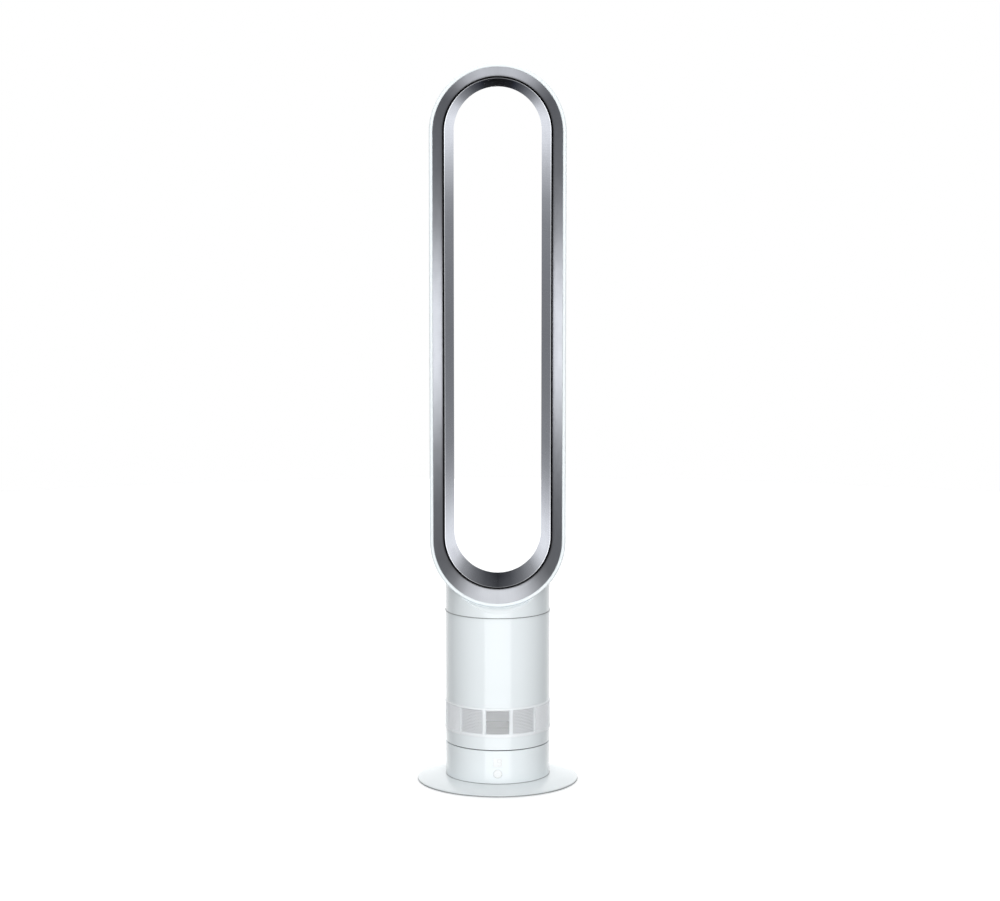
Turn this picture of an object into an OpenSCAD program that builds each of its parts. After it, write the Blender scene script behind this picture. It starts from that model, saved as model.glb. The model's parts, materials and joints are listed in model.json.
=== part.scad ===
// Bladeless tower fan: a round floor plate, a fixed lower housing, and an
// oscillating column that carries a mixed-flow impeller and a tall loop nozzle.
// Millimetres, +Z up, front towards -Y, origin under the plate on the column's axis.

/* [Loop nozzle] */
// Outer width of the loop
loop_w = 188; // [170:1:200]
// Height of the loop's straight sides
loop_side_h = 563; // [300:1:700]
// Depth of the loop from its front rim to its back
loop_d = 110; // [100:1:124]
// Width of the gap at the loop's narrowest place
throat_w = 123; // [105:1:126]
// Distance from the front rim back to the air slot
slot_setback = 43; // [38:1:48]
// Width of the air slot at its mouth
slot_gap = 1.5; // [1.2:0.1:2]
// Wall thickness of the outer shell
shell_t = 2.2; // [1.6:0.1:2.6]
// Width of the white rim around the front
rim_w = 5; // [4:0.5:6]

/* [Column] */
// Outer diameter of the oscillating column
body_d = 146.6; // [140:0.2:150]
// Outer diameter of the fixed lower housing
base_d = 146.6; // [142:0.2:150]
// Wall thickness of the column and the housing
wall = 2.5; // [2:0.1:3]
// Height of the seam between the housing and the column
seam_z = 56; // [54:1:60]
// Height of the seam between the column and the neck
neck_z = 243; // [236:1:250]
// Lowest point of the loop
loop_z = 256; // [255:1:258]

/* [Air inlet] */
// Number of perforated panels around the column
panels = 12; // [8:1:16]
// Height of the bottom of the perforated band
inlet_z = 79.6; // [78:0.2:82]
// Height of the perforated band
inlet_h = 34.2; // [30:0.2:36]
// Rows of air slots in each panel
inlet_rows = 8; // [5:1:10]
// Width of the plain strip between two panels
inlet_rib = 2.6; // [2:0.2:4]
// Height of the grille's plain border below the slots
band_low = 4.4; // [3:0.2:5]
// Height of the grille's plain border above the slots
band_high = 3; // [2.4:0.2:4]

/* [Floor plate] */
// Diameter of the floor plate
plate_d = 226; // [210:1:240]
// Thickness of the plate at its edge
plate_edge = 2.6; // [2:0.1:4]
// Height of the plate where the housing stands on it
plate_top = 8.9; // [8.5:0.1:9.5]
// Thickness of the rubber foot ring that shows below the plate
foot_h = 0.8; // [0.5:0.1:1.2]

/* [Oscillation drive] */
// Tooth module of the drive gears
gear_m = 1; // [1:1:1]
// Teeth on a full circle of the internal ring gear
ring_teeth = 100; // [96:1:104]
// Teeth on the pinion
pinion_teeth = 15; // [14:1:16]
// Swing to each side, in degrees
swing = 35; // [20:1:40]

/* [Impeller] */
// Number of impeller blades
blades = 9; // [7:1:11]
// Number of fixed vanes behind the impeller
vanes = 11; // [9:1:15]

/* [Hidden] */
$fn = 96;

// Finish colours
WHITE = "#f2f4f5";
SILVER = "#a9abb0";
SEAM_GREY = "#8b9092";
RUBBER = "#3a3b3d";
STEEL = "#b4b8bc";
BOARD = "#1f6b45";
ACETAL = "#dcdad0";
COPPER = "#b8713a";
FOAM = "#55585c";
DARK = "#2c2e31";

// Running clearance of a turning fit, gap between fixed neighbours, and overshoot of a cut
run = 0.05;
gap = 0.1;
eps = 1;

// Loop
R_out = loop_w / 2;
R_throat = throat_w / 2;
R_rim = R_out - rim_w;
y_front = -loop_d / 2;
y_slot = y_front + slot_setback;
back_r = (R_out - R_throat) / 2;
back_depth = 14;
y_back = loop_d / 2 - back_depth;
low_z = loop_z + R_out;
high_z = low_z + loop_side_h;

// Lip and Coanda wall: the lip's mouth edge, its thickness at the mouth and at the throat
lip_r = 73.2;
lip_tip_t = 0.6;
lip_root_t = 2;
mouth_r = lip_r + lip_tip_t + slot_gap;
wall_t = 2;
curve_steps = 10;
mouth_steps = 6;

// Column
body_r = body_d / 2;
base_r = base_d / 2;
body_in = body_r - wall;
base_in = base_r - wall;
seam_gap = 1.4;
body_z = seam_z + seam_gap;
gasket_h = 1.2;
neck_base = neck_z + gasket_h;

// Front controls
button_z = 23.5;
button_r = 6;
button_depth = 4.6;
display_z = 39.6;
display_w = 12;
display_h = 12.4;
board_y = -62;
board_t = 1.6;
power_z = 15;

// Lower housing and turntable stack
floor_z = plate_top + gap;
floor_t = 2.4;
shelf_z = 46;
shelf_r = 60;
glide_z = 50;
glide_t = 2;
table_z = glide_z + glide_t + gap;
table_t = 3;
spigot_r = 12 - run;
tower_top = 47.5;
tower_flange = 2.5;
collar_z = 21.6;
screw_a = 22;
screw_r = 62;
plate_seat = 4.2;
grommet_z = 21;
cord_r = 3.6;

// Drive gears
pressure = 20;
ring_pitch = gear_m * ring_teeth / 2;
pinion_pitch = gear_m * pinion_teeth / 2;
centre_dist = ring_pitch - pinion_pitch;
drive_a = 135;
gear_z = 42.5;
gear_h = 8;
backlash = 0.1;
drive_shaft_r = 2.4;
ear_top = 34;
ear_t = 1.2;
ear_r = 21;

// Fan unit
ledge_z = 116;
inlet_r = 38;
duct_r = 60;
duct_t = 2;
hub_z = 124;
hub_top = 156;
hub_r = 44;
bucket_r = 44;
bucket_z = 158;
bucket_top = 212;
motor_mid = 184;
shaft_r = 2.5;
bearing_r = 8;
bearing_h = 5;
low_bearing_z = 164;
high_bearing_z = 197;

// ---------------------------------------------------------------- helpers

// Points along an ellipse's arc
function arc(c, rx, ry, a0, a1, n = 12) =
    [for (i = [0:n]) let (a = a0 + (a1 - a0) * i / n) [c[0] + rx * cos(a), c[1] + ry * sin(a)]];

// Points along a curve through p0 and p2 that leaves and arrives towards p1
function bend(p0, p1, p2, n = curve_steps) =
    [for (i = [0:n]) let (t = i / n) (1 - t) * (1 - t) * p0 + 2 * t * (1 - t) * p1 + t * t * p2];

function reversed(list) = [for (i = [len(list) - 1:-1:0]) list[i]];

module ring(r_out, r_in, z, h) {
    translate([0, 0, z])
        difference() {
            cylinder(r = r_out, h = h);
            translate([0, 0, -eps]) cylinder(r = r_in, h = h + 2 * eps);
        }
}

module around(count, start = 0) {
    for (i = [0:count - 1]) rotate([0, 0, start + i * 360 / count]) children();
}

// A bar on local X that is centred across Y
module bar(x0, x1, width, z0, z1) {
    translate([x0, -width / 2, z0]) cube([x1 - x0, width, z1 - z0]);
}

// A pan-head screw along +Z with its head's underside at the origin
module screw(r, length, head_r, head_h) {
    cylinder(r = r, h = length);
    translate([0, 0, -head_h]) cylinder(r = head_r, h = head_h + 0.01);
}

// Sweeps a section around the loop's straight sides and half circles.
// The section's X is the distance from the loop's middle line and its Y is depth.
module loop_sweep() {
    for (side = [0, 1])
        mirror([side, 0, 0])
            translate([0, 0, low_z]) linear_extrude(height = loop_side_h) children();
    translate([0, 0, low_z]) rotate([-90, 0, 0]) rotate_extrude(angle = 180) children();
    translate([0, 0, high_z])
        rotate([-90, 0, 0]) rotate([0, 0, 180]) rotate_extrude(angle = 180) children();
}

// Polar angle of the involute at radius r on base radius rb
function inv_angle(r, rb) =
    let (a = acos(min(1, rb / r))) tan(a) * 180 / PI - a;

// One tooth's outline, from root to tip to root, centred on angle c
function tooth(c, n, m, root, tip, half_gap) =
    let (
        rp = n * m / 2,
        rb = rp * cos(pressure),
        start = max(root, rb),
        half = 90 / n + inv_angle(rp, rb) + half_gap / rp * 180 / PI,
        steps = 5,
        flank = [for (i = [0:steps]) start + (tip - start) * i / steps]
    )
    concat(
        root < rb ? [[root, c - half]] : [],
        [for (r = flank) [r, c - half + inv_angle(r, rb)]],
        [for (r = reversed(flank)) [r, c + half - inv_angle(r, rb)]],
        root < rb ? [[root, c + half]] : []
    );

function polar(p) = [p[0] * cos(p[1]), p[0] * sin(p[1])];

function gear_outline(n, m, root, tip, half_gap) =
    [for (i = [0:n - 1]) for (p = tooth(i * 360 / n, n, m, root, tip, half_gap)) polar(p)];

// A wedge from the axis, symmetric about +X, for cutting sectors under 180 degrees
module wedge(r, angle, z, h) {
    translate([0, 0, z])
        linear_extrude(height = h)
            polygon(concat(
                [[0, 0]],
                [for (i = [0:8]) polar([r / cos(angle / 16), -angle / 2 + angle * i / 8])]
            ));
}

// ---------------------------------------------------------------- floor plate

plate_r = plate_d / 2;
plate_cavity_in = 30;
plate_cavity_out = 94;

module plate_screw_places() {
    around(4, screw_a) translate([screw_r, 0, 0]) children();
}

module foot_ring() {
    color(RUBBER) ring(107, 97, 0, foot_h + 0.8);
}

module base_plate() {
    edge_z = foot_h + plate_edge;
    roof = [base_r + 3, plate_top];
    color(WHITE)
        difference() {
            rotate_extrude()
                polygon(concat(
                    [[0, foot_h], [plate_r - 1.4, foot_h]],
                    arc([plate_r - 1.3, foot_h + 1.3], 1.3, 1.3, -90, 90, 8),
                    bend([plate_r - 3, edge_z + 0.2], [plate_r - 18, plate_top - 0.6], roof, 6),
                    [[0, plate_top]]
                ));
            // hollow underside between radial ribs
            difference() {
                rotate_extrude()
                    polygon([
                        [plate_cavity_in, foot_h - eps], [plate_cavity_out, foot_h - eps],
                        [plate_cavity_out, 4.2], [base_r - 6, 6.4], [plate_cavity_in, 6.4]
                    ]);
                around(12) bar(plate_cavity_in - eps, plate_cavity_out + eps, 2, -eps, 8);
                plate_screw_places() translate([0, 0, -eps]) cylinder(r = 6.5, h = 9);
            }
            // groove for the foot ring
            ring(107 + gap, 97 - gap, foot_h - eps, eps + 0.8 + gap);
            plate_screw_places() {
                translate([0, 0, -eps]) cylinder(r = 2.1, h = 12);
                translate([0, 0, -eps]) cylinder(r = 4.4, h = eps + plate_seat);
            }
        }
}

module base_plate_screws() {
    color(STEEL) plate_screw_places() translate([0, 0, plate_seat - gap]) screw(1.9, 14, 3.8, 2.1);
}

// ---------------------------------------------------------------- lower housing

module at_front(z) {
    translate([0, -base_r, z]) rotate([-90, 0, 0]) children();
}

// Curved slab of the housing's front wall behind the display
module display_slab(depth, margin) {
    w = display_w + 2 * margin;
    intersection() {
        ring(base_r + margin, base_r - depth, display_z - display_h / 2 - margin, display_h + 2 * margin);
        translate([-w / 2, -base_r - eps, 0]) cube([w, 8, seam_z]);
    }
}

module board_posts() {
    for (s = [-1, 1]) translate([s * 14 - 1.5, board_y + board_t + gap, floor_z]) cube([3, 4, 30]);
    for (p = [[28, -30], [28, 30], [48, -18], [48, 18]])
        translate([p[0], p[1], floor_z]) cylinder(r = 2.5, h = power_z - gap - floor_z);
}

module lower_housing() {
    stop_a = 2 * (swing + 4);
    color(WHITE)
        difference() {
            union() {
                ring(base_r, base_in, floor_z, seam_z - floor_z);
                translate([0, 0, floor_z]) cylinder(r = base_in + eps, h = floor_t);
                ring(base_in + eps, shelf_r, shelf_z, glide_z - gap - shelf_z);
                plate_screw_places() translate([0, 0, floor_z]) cylinder(r = 4.6, h = 13);
                drive_screw_places()
                    translate([0, 0, floor_z]) cylinder(r = 3.4, h = ear_top - ear_t - gap - floor_z);
                board_posts();
            }
            plate_screw_places() translate([0, 0, floor_z - eps]) cylinder(r = 2, h = 11);
            drive_screw_places() translate([0, 0, ear_top - 9]) cylinder(r = 1.55, h = 10);
            tower_screw_places() translate([0, 0, floor_z - eps]) cylinder(r = 1.35, h = 5);
            at_front(button_z) translate([0, 0, -eps]) cylinder(r = button_r + 0.2, h = 6);
            display_slab(1.6, gap);
            translate([-4, -base_r, display_z - 4.5]) cube([8, 6, 9]);
            translate([0, base_in - 4, grommet_z]) rotate([-90, 0, 0]) cylinder(r = 6.1, h = 10);
            // slot in the shelf that stops the swing
            rotate([0, 0, -90]) difference() {
                wedge(shelf_r + 5, stop_a, shelf_z - eps, glide_z - shelf_z + 2 * eps);
                cylinder(r = shelf_r - eps, h = seam_z);
            }
        }
}

// Held in the back wall, with a through bore for the mains cord
module cord_grommet() {
    color(RUBBER)
        translate([0, base_in - 2.5, grommet_z])
            rotate([-90, 0, 0])
                difference() {
                    union() {
                        cylinder(r = 6, h = 8);
                        cylinder(r = 7.6, h = 1.6);
                        translate([0, 0, 5.6]) cylinder(r1 = 7.4, r2 = 6.4, h = 2.4);
                    }
                    translate([0, 0, -eps]) cylinder(r = cord_r, h = 8 + 2 * eps);
                }
}

module pivot_tower() {
    foot_z = floor_z + floor_t + gap;
    color(DARK)
        difference() {
            union() {
                ring(17.2, 14.1, foot_z, tower_top - foot_z);
                ring(22.5, 14.1, foot_z, tower_flange);
                around(3, 60) bar(16, 21, 2, foot_z, 34);
            }
            tower_screw_places() translate([0, 0, foot_z - eps]) cylinder(r = 1.5, h = 5);
        }
}

module tower_screw_places() {
    around(3) translate([19.8, 0, 0]) children();
}

module pivot_tower_screws() {
    color(STEEL)
        tower_screw_places()
            translate([0, 0, floor_z + floor_t + 2 * gap + tower_flange])
                mirror([0, 0, 1]) screw(1.3, 4.4, 2.2, 1.5);
}

module pivot_bush() {
    color(ACETAL) {
        ring(14, 12, 24, tower_top - 24 + 0.2);
        ring(17, 12, tower_top + gap, 1.8);
    }
}

module glide_ring() {
    color(ACETAL) ring(68.5, shelf_r + 5.4, glide_z, glide_t);
}

module control_board() {
    color(BOARD) translate([-17, board_y, 12.5]) cube([34, board_t, 32.5]);
}

switch_front = board_y - 4.4;

module button_switch() {
    color(DARK)
        difference() {
            translate([-3, switch_front, button_z - 3]) cube([6, board_y - gap - switch_front, 6]);
            translate([0, switch_front - eps, button_z])
                rotate([-90, 0, 0]) cylinder(r = 1.6 + run, h = eps + 3);
        }
}

// Pushed in by the button's back
module switch_plunger() {
    back_y = -base_r + button_depth + gap;
    color(ACETAL)
        translate([0, back_y, button_z])
            rotate([-90, 0, 0]) cylinder(r = 1.6, h = switch_front + 1.2 - back_y);
}

module display_module() {
    color(DARK) translate([-7, board_y - 5.2, display_z - 5.2]) cube([14, 5.1, 10.4]);
}

module display_window() {
    color(WHITE) display_slab(1.5, 0);
}

module infrared_receiver() {
    color(DARK) {
        translate([10, board_y - 2.6, 30]) cube([5, 2.5, 6]);
        translate([12.5, board_y - 2.5, 33]) rotate([90, 0, 0]) cylinder(r = 2.2, h = 1.4);
    }
}

module power_board() {
    color(BOARD)
        intersection() {
            difference() {
                translate([23, -40, power_z]) cube([30, 80, board_t]);
                plate_screw_places() cylinder(r = 5.2, h = 40);
            }
            translate([0, 0, 10]) cylinder(r = base_in - 1.5, h = 20);
        }
}

module power_components() {
    top = power_z + board_t + gap;
    color(DARK) translate([26, -12, top]) cube([20, 22, 17]);
    color("#26354a") for (y = [-22, -34]) translate([34, y, top]) cylinder(r = 5, h = 16);
    color(STEEL) translate([28, 20, top]) cube([3, 16, 15]);
    color("#c9a227") translate([38, 22, top]) cube([6, 13, 9]);
}

// ---------------------------------------------------------------- oscillation drive

module at_drive() {
    rotate([0, 0, drive_a]) translate([centre_dist, 0, 0]) children();
}

module drive_screw_places() {
    at_drive() for (s = [-1, 1]) translate([0, s * ear_r, 0]) children();
}

module oscillation_motor() {
    z = floor_z + floor_t + gap;
    color(STEEL)
        difference() {
            at_drive() {
                translate([0, 0, z]) cylinder(r = 17.4, h = ear_top - z);
                rotate([0, 0, 90]) bar(-ear_r, ear_r, 8, ear_top - ear_t, ear_top);
                translate([0, 0, ear_top - eps]) cylinder(r = 5, h = 2 + eps);
                translate([0, 0, ear_top]) cylinder(r = drive_shaft_r, h = 15.5);
                for (s = [-1, 1]) translate([0, s * ear_r, ear_top - ear_t]) cylinder(r = 4, h = ear_t);
            }
            drive_screw_places() translate([0, 0, ear_top - 8]) cylinder(r = 1.7, h = 10);
        }
}

module oscillation_motor_screws() {
    color(STEEL) drive_screw_places()
        translate([0, 0, ear_top + gap]) mirror([0, 0, 1]) screw(1.5, 7, 2.8, 1.8);
}

module drive_pinion() {
    color(ACETAL)
        at_drive() translate([0, 0, gear_z])
            difference() {
                linear_extrude(height = gear_h)
                    polygon(gear_outline(pinion_teeth, gear_m, pinion_pitch - 1.25 * gear_m,
                        pinion_pitch + 0.95 * gear_m, -backlash / 2));
                translate([0, 0, -eps]) cylinder(r = drive_shaft_r + 0.02, h = gear_h + 2 * eps);
            }
}

module ring_gear_sector() {
    pitch_a = 360 / ring_teeth;
    tip_r = ring_pitch - 0.75 * gear_m;
    rim_r = ring_pitch + 5;
    spaces = ceil((swing + 12) / pitch_a);
    end_a = (spaces + 0.5) * pitch_a;
    flanks = [for (i = [-spaces:spaces]) for (p = tooth(i * pitch_a, ring_teeth, gear_m, tip_r,
        ring_pitch + 1.25 * gear_m, backlash / 2)) polar(p)];
    color(ACETAL)
        rotate([0, 0, drive_a])
            translate([0, 0, gear_z])
                linear_extrude(height = table_z - gap - gear_z)
                    polygon(concat([polar([tip_r, -end_a])], flanks, [polar([tip_r, end_a])],
                        arc([0, 0], rim_r, rim_r, end_a, -end_a, 24)));
}

module turntable() {
    color(DARK)
        difference() {
            union() {
                translate([0, 0, table_z]) cylinder(r = 69, h = table_t);
                translate([0, 0, 19]) cylinder(r = spigot_r, h = table_z - 19 + eps);
                ring(body_in - 0.3, body_in - 3, table_z, 13);
                // peg that runs in the lower housing's stop slot
                rotate([0, 0, -90]) translate([shelf_r + 2.2, 0, 47]) cylinder(r = 1.8, h = table_z - 46);
            }
            translate([0, 0, 18]) cylinder(r = 9, h = 40);
            ring(13, 10.6, collar_z - gap, 1.6 + 2 * gap);
            around(3, 30) translate([body_r, 0, 61]) rotate([0, -90, 0]) cylinder(r = 1.6, h = 12);
        }
}

module retaining_collar() {
    color(STEEL)
        difference() {
            ring(13.4, 10.7, collar_z, 1.6);
            translate([0, -1.5, collar_z - eps]) cube([20, 3, 4]);
        }
}

module turntable_screws() {
    color(STEEL)
        around(3, 30) translate([body_in - 3.1, 0, 61]) rotate([0, 90, 0]) screw(1.4, 4, 2.6, 1.6);
}

// ---------------------------------------------------------------- controls

module power_button() {
    color(WHITE)
        difference() {
            intersection() {
                at_front(button_z) union() {
                    translate([0, 0, -eps]) cylinder(r = button_r, h = button_depth + eps);
                    translate([0, 0, wall + 0.6]) cylinder(r = button_r + 1.6, h = 1);
                }
                cylinder(r = base_r, h = seam_z);
            }
            // engraved standby sign
            at_front(button_z) translate([0, 0, -eps]) {
                difference() {
                    ring(2.6, 2, 0, eps + 0.4);
                    translate([-0.8, -4, -1]) cube([1.6, 4, 4]);
                }
                translate([-0.3, -3.2, 0]) cube([0.6, 2.8, eps + 0.4]);
            }
        }
}

// ---------------------------------------------------------------- column

module panel_windows(z, h, r, rib) {
    for (i = [0:panels - 1])
        rotate([0, 0, -90 + i * 360 / panels])
            difference() {
                wedge(r, 360 / panels, z, h);
                for (s = [-1, 1]) rotate([0, 0, s * 180 / panels])
                    translate([0, -rib / 2, z - eps]) cube([r + 5, rib, h + 2 * eps]);
            }
}

module body_shell() {
    color(WHITE)
        difference() {
            union() {
                ring(body_r, body_in, body_z, neck_z - body_z);
                ring(body_in + 0.5, 62.5, ledge_z, 2.4);
                ring(body_in + 0.5, 64, 226, 2.4);
            }
            // recess for the grille, with windows behind it
            ring(body_r + eps, body_r - 0.8, inlet_z - band_low, inlet_h + band_low + band_high);
            intersection() {
                ring(body_r + eps, body_in - eps, inlet_z - eps, inlet_h + 2 * eps);
                panel_windows(inlet_z, inlet_h, body_r + 5, 5);
            }
            around(3, 30) translate([body_in - 4, 0, 61]) rotate([0, 90, 0]) cylinder(r = 1.5, h = 6);
        }
}

module inlet_grille() {
    pitch = inlet_h / inlet_rows;
    r_in = body_r - 0.8 + gap;
    r_band = body_r + 0.8;
    z0 = inlet_z - band_low + gap;
    z1 = inlet_z + inlet_h + band_high - gap;
    color(WHITE)
        difference() {
            rotate_extrude()
                polygon([[r_in, z0], [r_band, z0], [r_band, z1 - 2], [body_r, z1], [r_in, z1]]);
            for (row = [0:inlet_rows - 1])
                panel_windows(inlet_z + (row + 0.22) * pitch, pitch * 0.56, body_r + 5, inlet_rib);
        }
}

module inlet_foam() {
    color(FOAM) ring(65.5, 26, table_z + table_t + gap, 12);
}

module duct_seal() {
    color(RUBBER) ring(68.5, 63.5, ledge_z + 2.5, 1.8);
}

module mount_places() {
    around(3, 90) translate([65.2, 0, 0]) children();
}

module isolation_mounts() {
    color(RUBBER) mount_places() translate([0, 0, ledge_z + 4.4 + 1.9]) difference() {
        cylinder(r = 2.8, h = 5);
        translate([0, 0, -eps]) cylinder(r = 1.3, h = 8);
    }
}

module impeller_housing() {
    flange_z = ledge_z + 4.4;
    outer = concat(
        [[inlet_r, flange_z], [68.5, flange_z], [68.5, flange_z + 1.8], [inlet_r + 7, flange_z + 1.8]],
        bend([inlet_r + 7, flange_z + 5], [46, 146], [duct_r + duct_t, 152], 6),
        [[duct_r + duct_t, 208]]
    );
    inner = concat(
        [[duct_r, 208]],
        bend([duct_r, 153], [44, 148], [inlet_r, flange_z + 6], 6)
    );
    color(ACETAL) rotate_extrude() polygon(concat(outer, inner));
}

module curved_vane(r_in, r_out, turn, thick, z, h) {
    outline = [for (i = [0:6]) let (t = i / 6) [r_in + (r_out - r_in) * t, turn * t]];
    translate([0, 0, z])
        linear_extrude(height = h)
            polygon(concat(
                [for (p = outline) polar(p - [0, thick / 2 / p[0] * 180 / PI])],
                [for (p = reversed(outline)) polar(p + [0, thick / 2 / p[0] * 180 / PI])]
            ));
}

module diffuser_vanes() {
    color(ACETAL) {
        around(vanes) curved_vane(bucket_r + 1, duct_r - 0.2, 16, 1.4, 176, 20);
        ring(bucket_r + 1.6, bucket_r + gap, 176, 20);
    }
}

module bearing_seat(z) {
    ring(bearing_r + 2.5, bearing_r + run, z, bearing_h);
}

module motor_bucket_lower() {
    color(ACETAL) {
        ring(bucket_r, bucket_r - duct_t, bucket_z, motor_mid - bucket_z);
        ring(bucket_r - 1, bearing_r - 2.5, bucket_z, 2);
        bearing_seat(low_bearing_z - 0.5);
        ring(bearing_r + 2.5, bearing_r - 2.5, bucket_z, low_bearing_z - 0.5 - bucket_z);
        around(6) bar(28 + gap, bucket_r - 1, 2, bucket_z, motor_mid);
        around(6) bar(25, bucket_r - 1, 2, bucket_z, 173 - gap);
    }
}

module motor_bucket_upper() {
    top_z = high_bearing_z + bearing_h;
    color(ACETAL) {
        difference() {
            rotate_extrude()
                polygon(concat(
                    [[bucket_r, motor_mid + gap]],
                    arc([0, bucket_top - 14], bucket_r, 14, 0, 90, 10),
                    reversed(arc([0, bucket_top - 16], bucket_r - duct_t, 14, 0, 90, 10)),
                    [[bucket_r - duct_t, motor_mid + gap]]
                ));
            around(3) translate([30, 0, 190]) cylinder(r = 2.2, h = 30);
        }
        bearing_seat(high_bearing_z + 0.5);
        ring(bearing_r + 2.5, 1, top_z + 0.5, bucket_top - 2.6 - top_z);
    }
}

module stator_core() {
    color(STEEL)
        translate([0, 0, 173])
            difference() {
                union() {
                    ring(28, 24, 0, 16);
                    around(6) bar(16, 25, 6, 0, 16);
                    intersection() {
                        ring(17, 14.4, 0, 16);
                        around(6) wedge(20, 46, 0, 16);
                    }
                }
                translate([0, 0, -eps]) cylinder(r = 14.4, h = 30);
            }
}

module stator_windings() {
    color(COPPER)
        translate([0, 0, 173])
            around(6) difference() {
                bar(17.2, 23.4, 10, -2.2, 18.2);
                bar(17, 24, 6.2, -gap, 16 + gap);
            }
}

module at_bearings() {
    for (z = [low_bearing_z, high_bearing_z + 0.5]) translate([0, 0, z]) children();
}

module bearing_outer_races() {
    color(STEEL) at_bearings() ring(bearing_r, 6.2, 0, bearing_h - 0.5);
}

module motor_board() {
    color(BOARD) ring(34, 12, 192, 1.6);
}

// ---------------------------------------------------------------- rotor

module impeller() {
    bore = shaft_r + 0.02;
    hub = concat(
        [[bore, hub_z], [9, hub_z]],
        bend([12, hub_z + 2], [20, hub_top - 6], [hub_r, hub_top], 6),
        [[hub_r, hub_top + 1], [hub_r - 3, hub_top + 1]],
        bend([hub_r - 4, hub_top - 0.5], [21, hub_top - 6], [12.5, hub_z + 8], 6),
        [[8, hub_z + 6], [8, hub_top - 2], [bore, hub_top - 2]]
    );
    // space swept by the blades, kept clear of the housing's bell
    swept = concat(
        [[8, hub_z + 1], [inlet_r - 3, hub_z + 1]],
        bend([inlet_r - 2.5, hub_z + 5], [42, 147], [duct_r - 6, hub_top - 2], 6),
        [[hub_r - 1, hub_top - 0.8], [30, hub_top - 4.5], [13, hub_z + 6]]
    );
    color(DARK) {
        rotate_extrude() polygon(hub);
        intersection() {
            rotate_extrude() polygon(swept);
            around(blades) curved_vane(10, duct_r, 48, 1.3, hub_z, hub_top - hub_z);
        }
    }
}

module impeller_nut() {
    color(STEEL)
        translate([0, 0, hub_z - 5])
            difference() {
                cylinder(r = 4.6, h = 4.9, $fn = 6);
                translate([0, 0, -eps]) cylinder(r = shaft_r + 0.02, h = 10);
            }
}

module motor_shaft() {
    color(STEEL) translate([0, 0, 118]) cylinder(r = shaft_r, h = high_bearing_z + bearing_h - 118);
}

module rotor_core() {
    color(STEEL) ring(10.5, shaft_r + 0.02, 173, 16);
}

module rotor_magnets() {
    color(DARK) ring(13.6, 10.6, 173, 16);
}

module bearing_inner_races() {
    color(STEEL) at_bearings() ring(3.8, shaft_r + 0.02, 0, bearing_h - 0.5);
}

module bearing_balls() {
    color(STEEL) at_bearings() around(7) translate([5, 0, bearing_h / 2 - 0.25]) sphere(r = 1.15, $fn = 32);
}

// ---------------------------------------------------------------- neck and loop

module bayonet_ring() {
    color(ACETAL) {
        ring(67.6, 64.5, 228.5, 12);
        around(3) intersection() {
            ring(70.2, 67, 233.3, 3);
            wedge(80, 14, 230, 10);
        }
    }
}

module neck_gasket() {
    color(SEAM_GREY) ring(body_r + 0.7, body_in, neck_z + gap / 2, gasket_h - gap);
}

// The loop's outer outline, from the rim to its rearmost line, and on around to the throat
shell_side = concat(
    [[R_rim, y_front + 1]],
    arc([R_out - 2.3, y_front + 2.3], 2.3, 2.3, -90, 0, 5),
    arc([R_out - back_r, y_back], back_r, back_depth, 0, 90, 9)
);
shell_outline = concat(shell_side, arc([R_out - back_r, y_back], back_r, back_depth, 100, 180, 8));

// The neck's form: a cylinder whose front and back are rounded in to the loop's outline,
// by a shape turned about the axis of the loop's lower half circle
module neck_block(r, inset, z0, z_top) {
    front_y = y_front + 1 + inset;
    back_y = y_back + 11 - inset;
    shoulder = R_out + 8 + inset;
    front_drop = 7;
    back_drop = 14;
    intersection() {
        translate([0, 0, z0]) cylinder(r = r, h = z_top - z0);
        translate([0, 0, low_z])
            rotate([-90, 0, 0])
                rotate_extrude(angle = 180)
                    polygon(concat(
                        [[0, front_y]],
                        arc([shoulder, front_y], front_drop, r + front_y, 180, 270, 8),
                        [[shoulder, -r - eps], [2 * R_out, -r - eps], [2 * R_out, r + eps], [shoulder, r + eps]],
                        arc([shoulder, back_y], back_drop, r - back_y, 90, 180, 8),
                        [[0, back_y]]
                    ));
    }
}

module neck() {
    lug_z = 233.1;
    spigot_z = 232;
    spigot_in = 68;
    floor_top = neck_base + 2;
    top = low_z - sqrt(R_out * R_out - body_r * body_r) + 4;
    color(WHITE)
        difference() {
            union() {
                neck_block(body_r, 0, neck_base, top);
                ring(body_in - 0.2, spigot_in, spigot_z, neck_base - spigot_z + eps);
            }
            neck_block(body_in, wall, floor_top, top + eps);
            translate([0, 0, spigot_z - eps]) cylinder(r = spigot_in, h = floor_top - spigot_z + 2 * eps);
            // the loop's own space
            translate([0, 0, low_z])
                rotate([-90, 0, 0])
                    rotate_extrude(angle = 180)
                        polygon(concat([[0, y_front + 1]], [for (p = shell_side) p + [gap, 0]],
                            [[0, loop_d / 2]]));
            // bayonet slots for the ring's lugs
            around(3) {
                wedge(80, 18, lug_z, 3.4);
                rotate([0, 0, 14]) wedge(80, 18, spigot_z - eps, 3.4 + lug_z - spigot_z + eps);
            }
        }
}

module outer_shell() {
    inner = concat(
        reversed(arc([R_out - back_r, y_back], back_r - shell_t, back_depth - shell_t, 0, 180, 18)),
        [[R_out - shell_t, y_front + 5], [R_rim, y_front + 3.5]]
    );
    color(WHITE)
        difference() {
            loop_sweep() polygon(concat(shell_outline, inner));
            // the air's way in from the neck
            translate([-50, -40, loop_z - 10]) cube([100, 80, 32]);
        }
}

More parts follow.
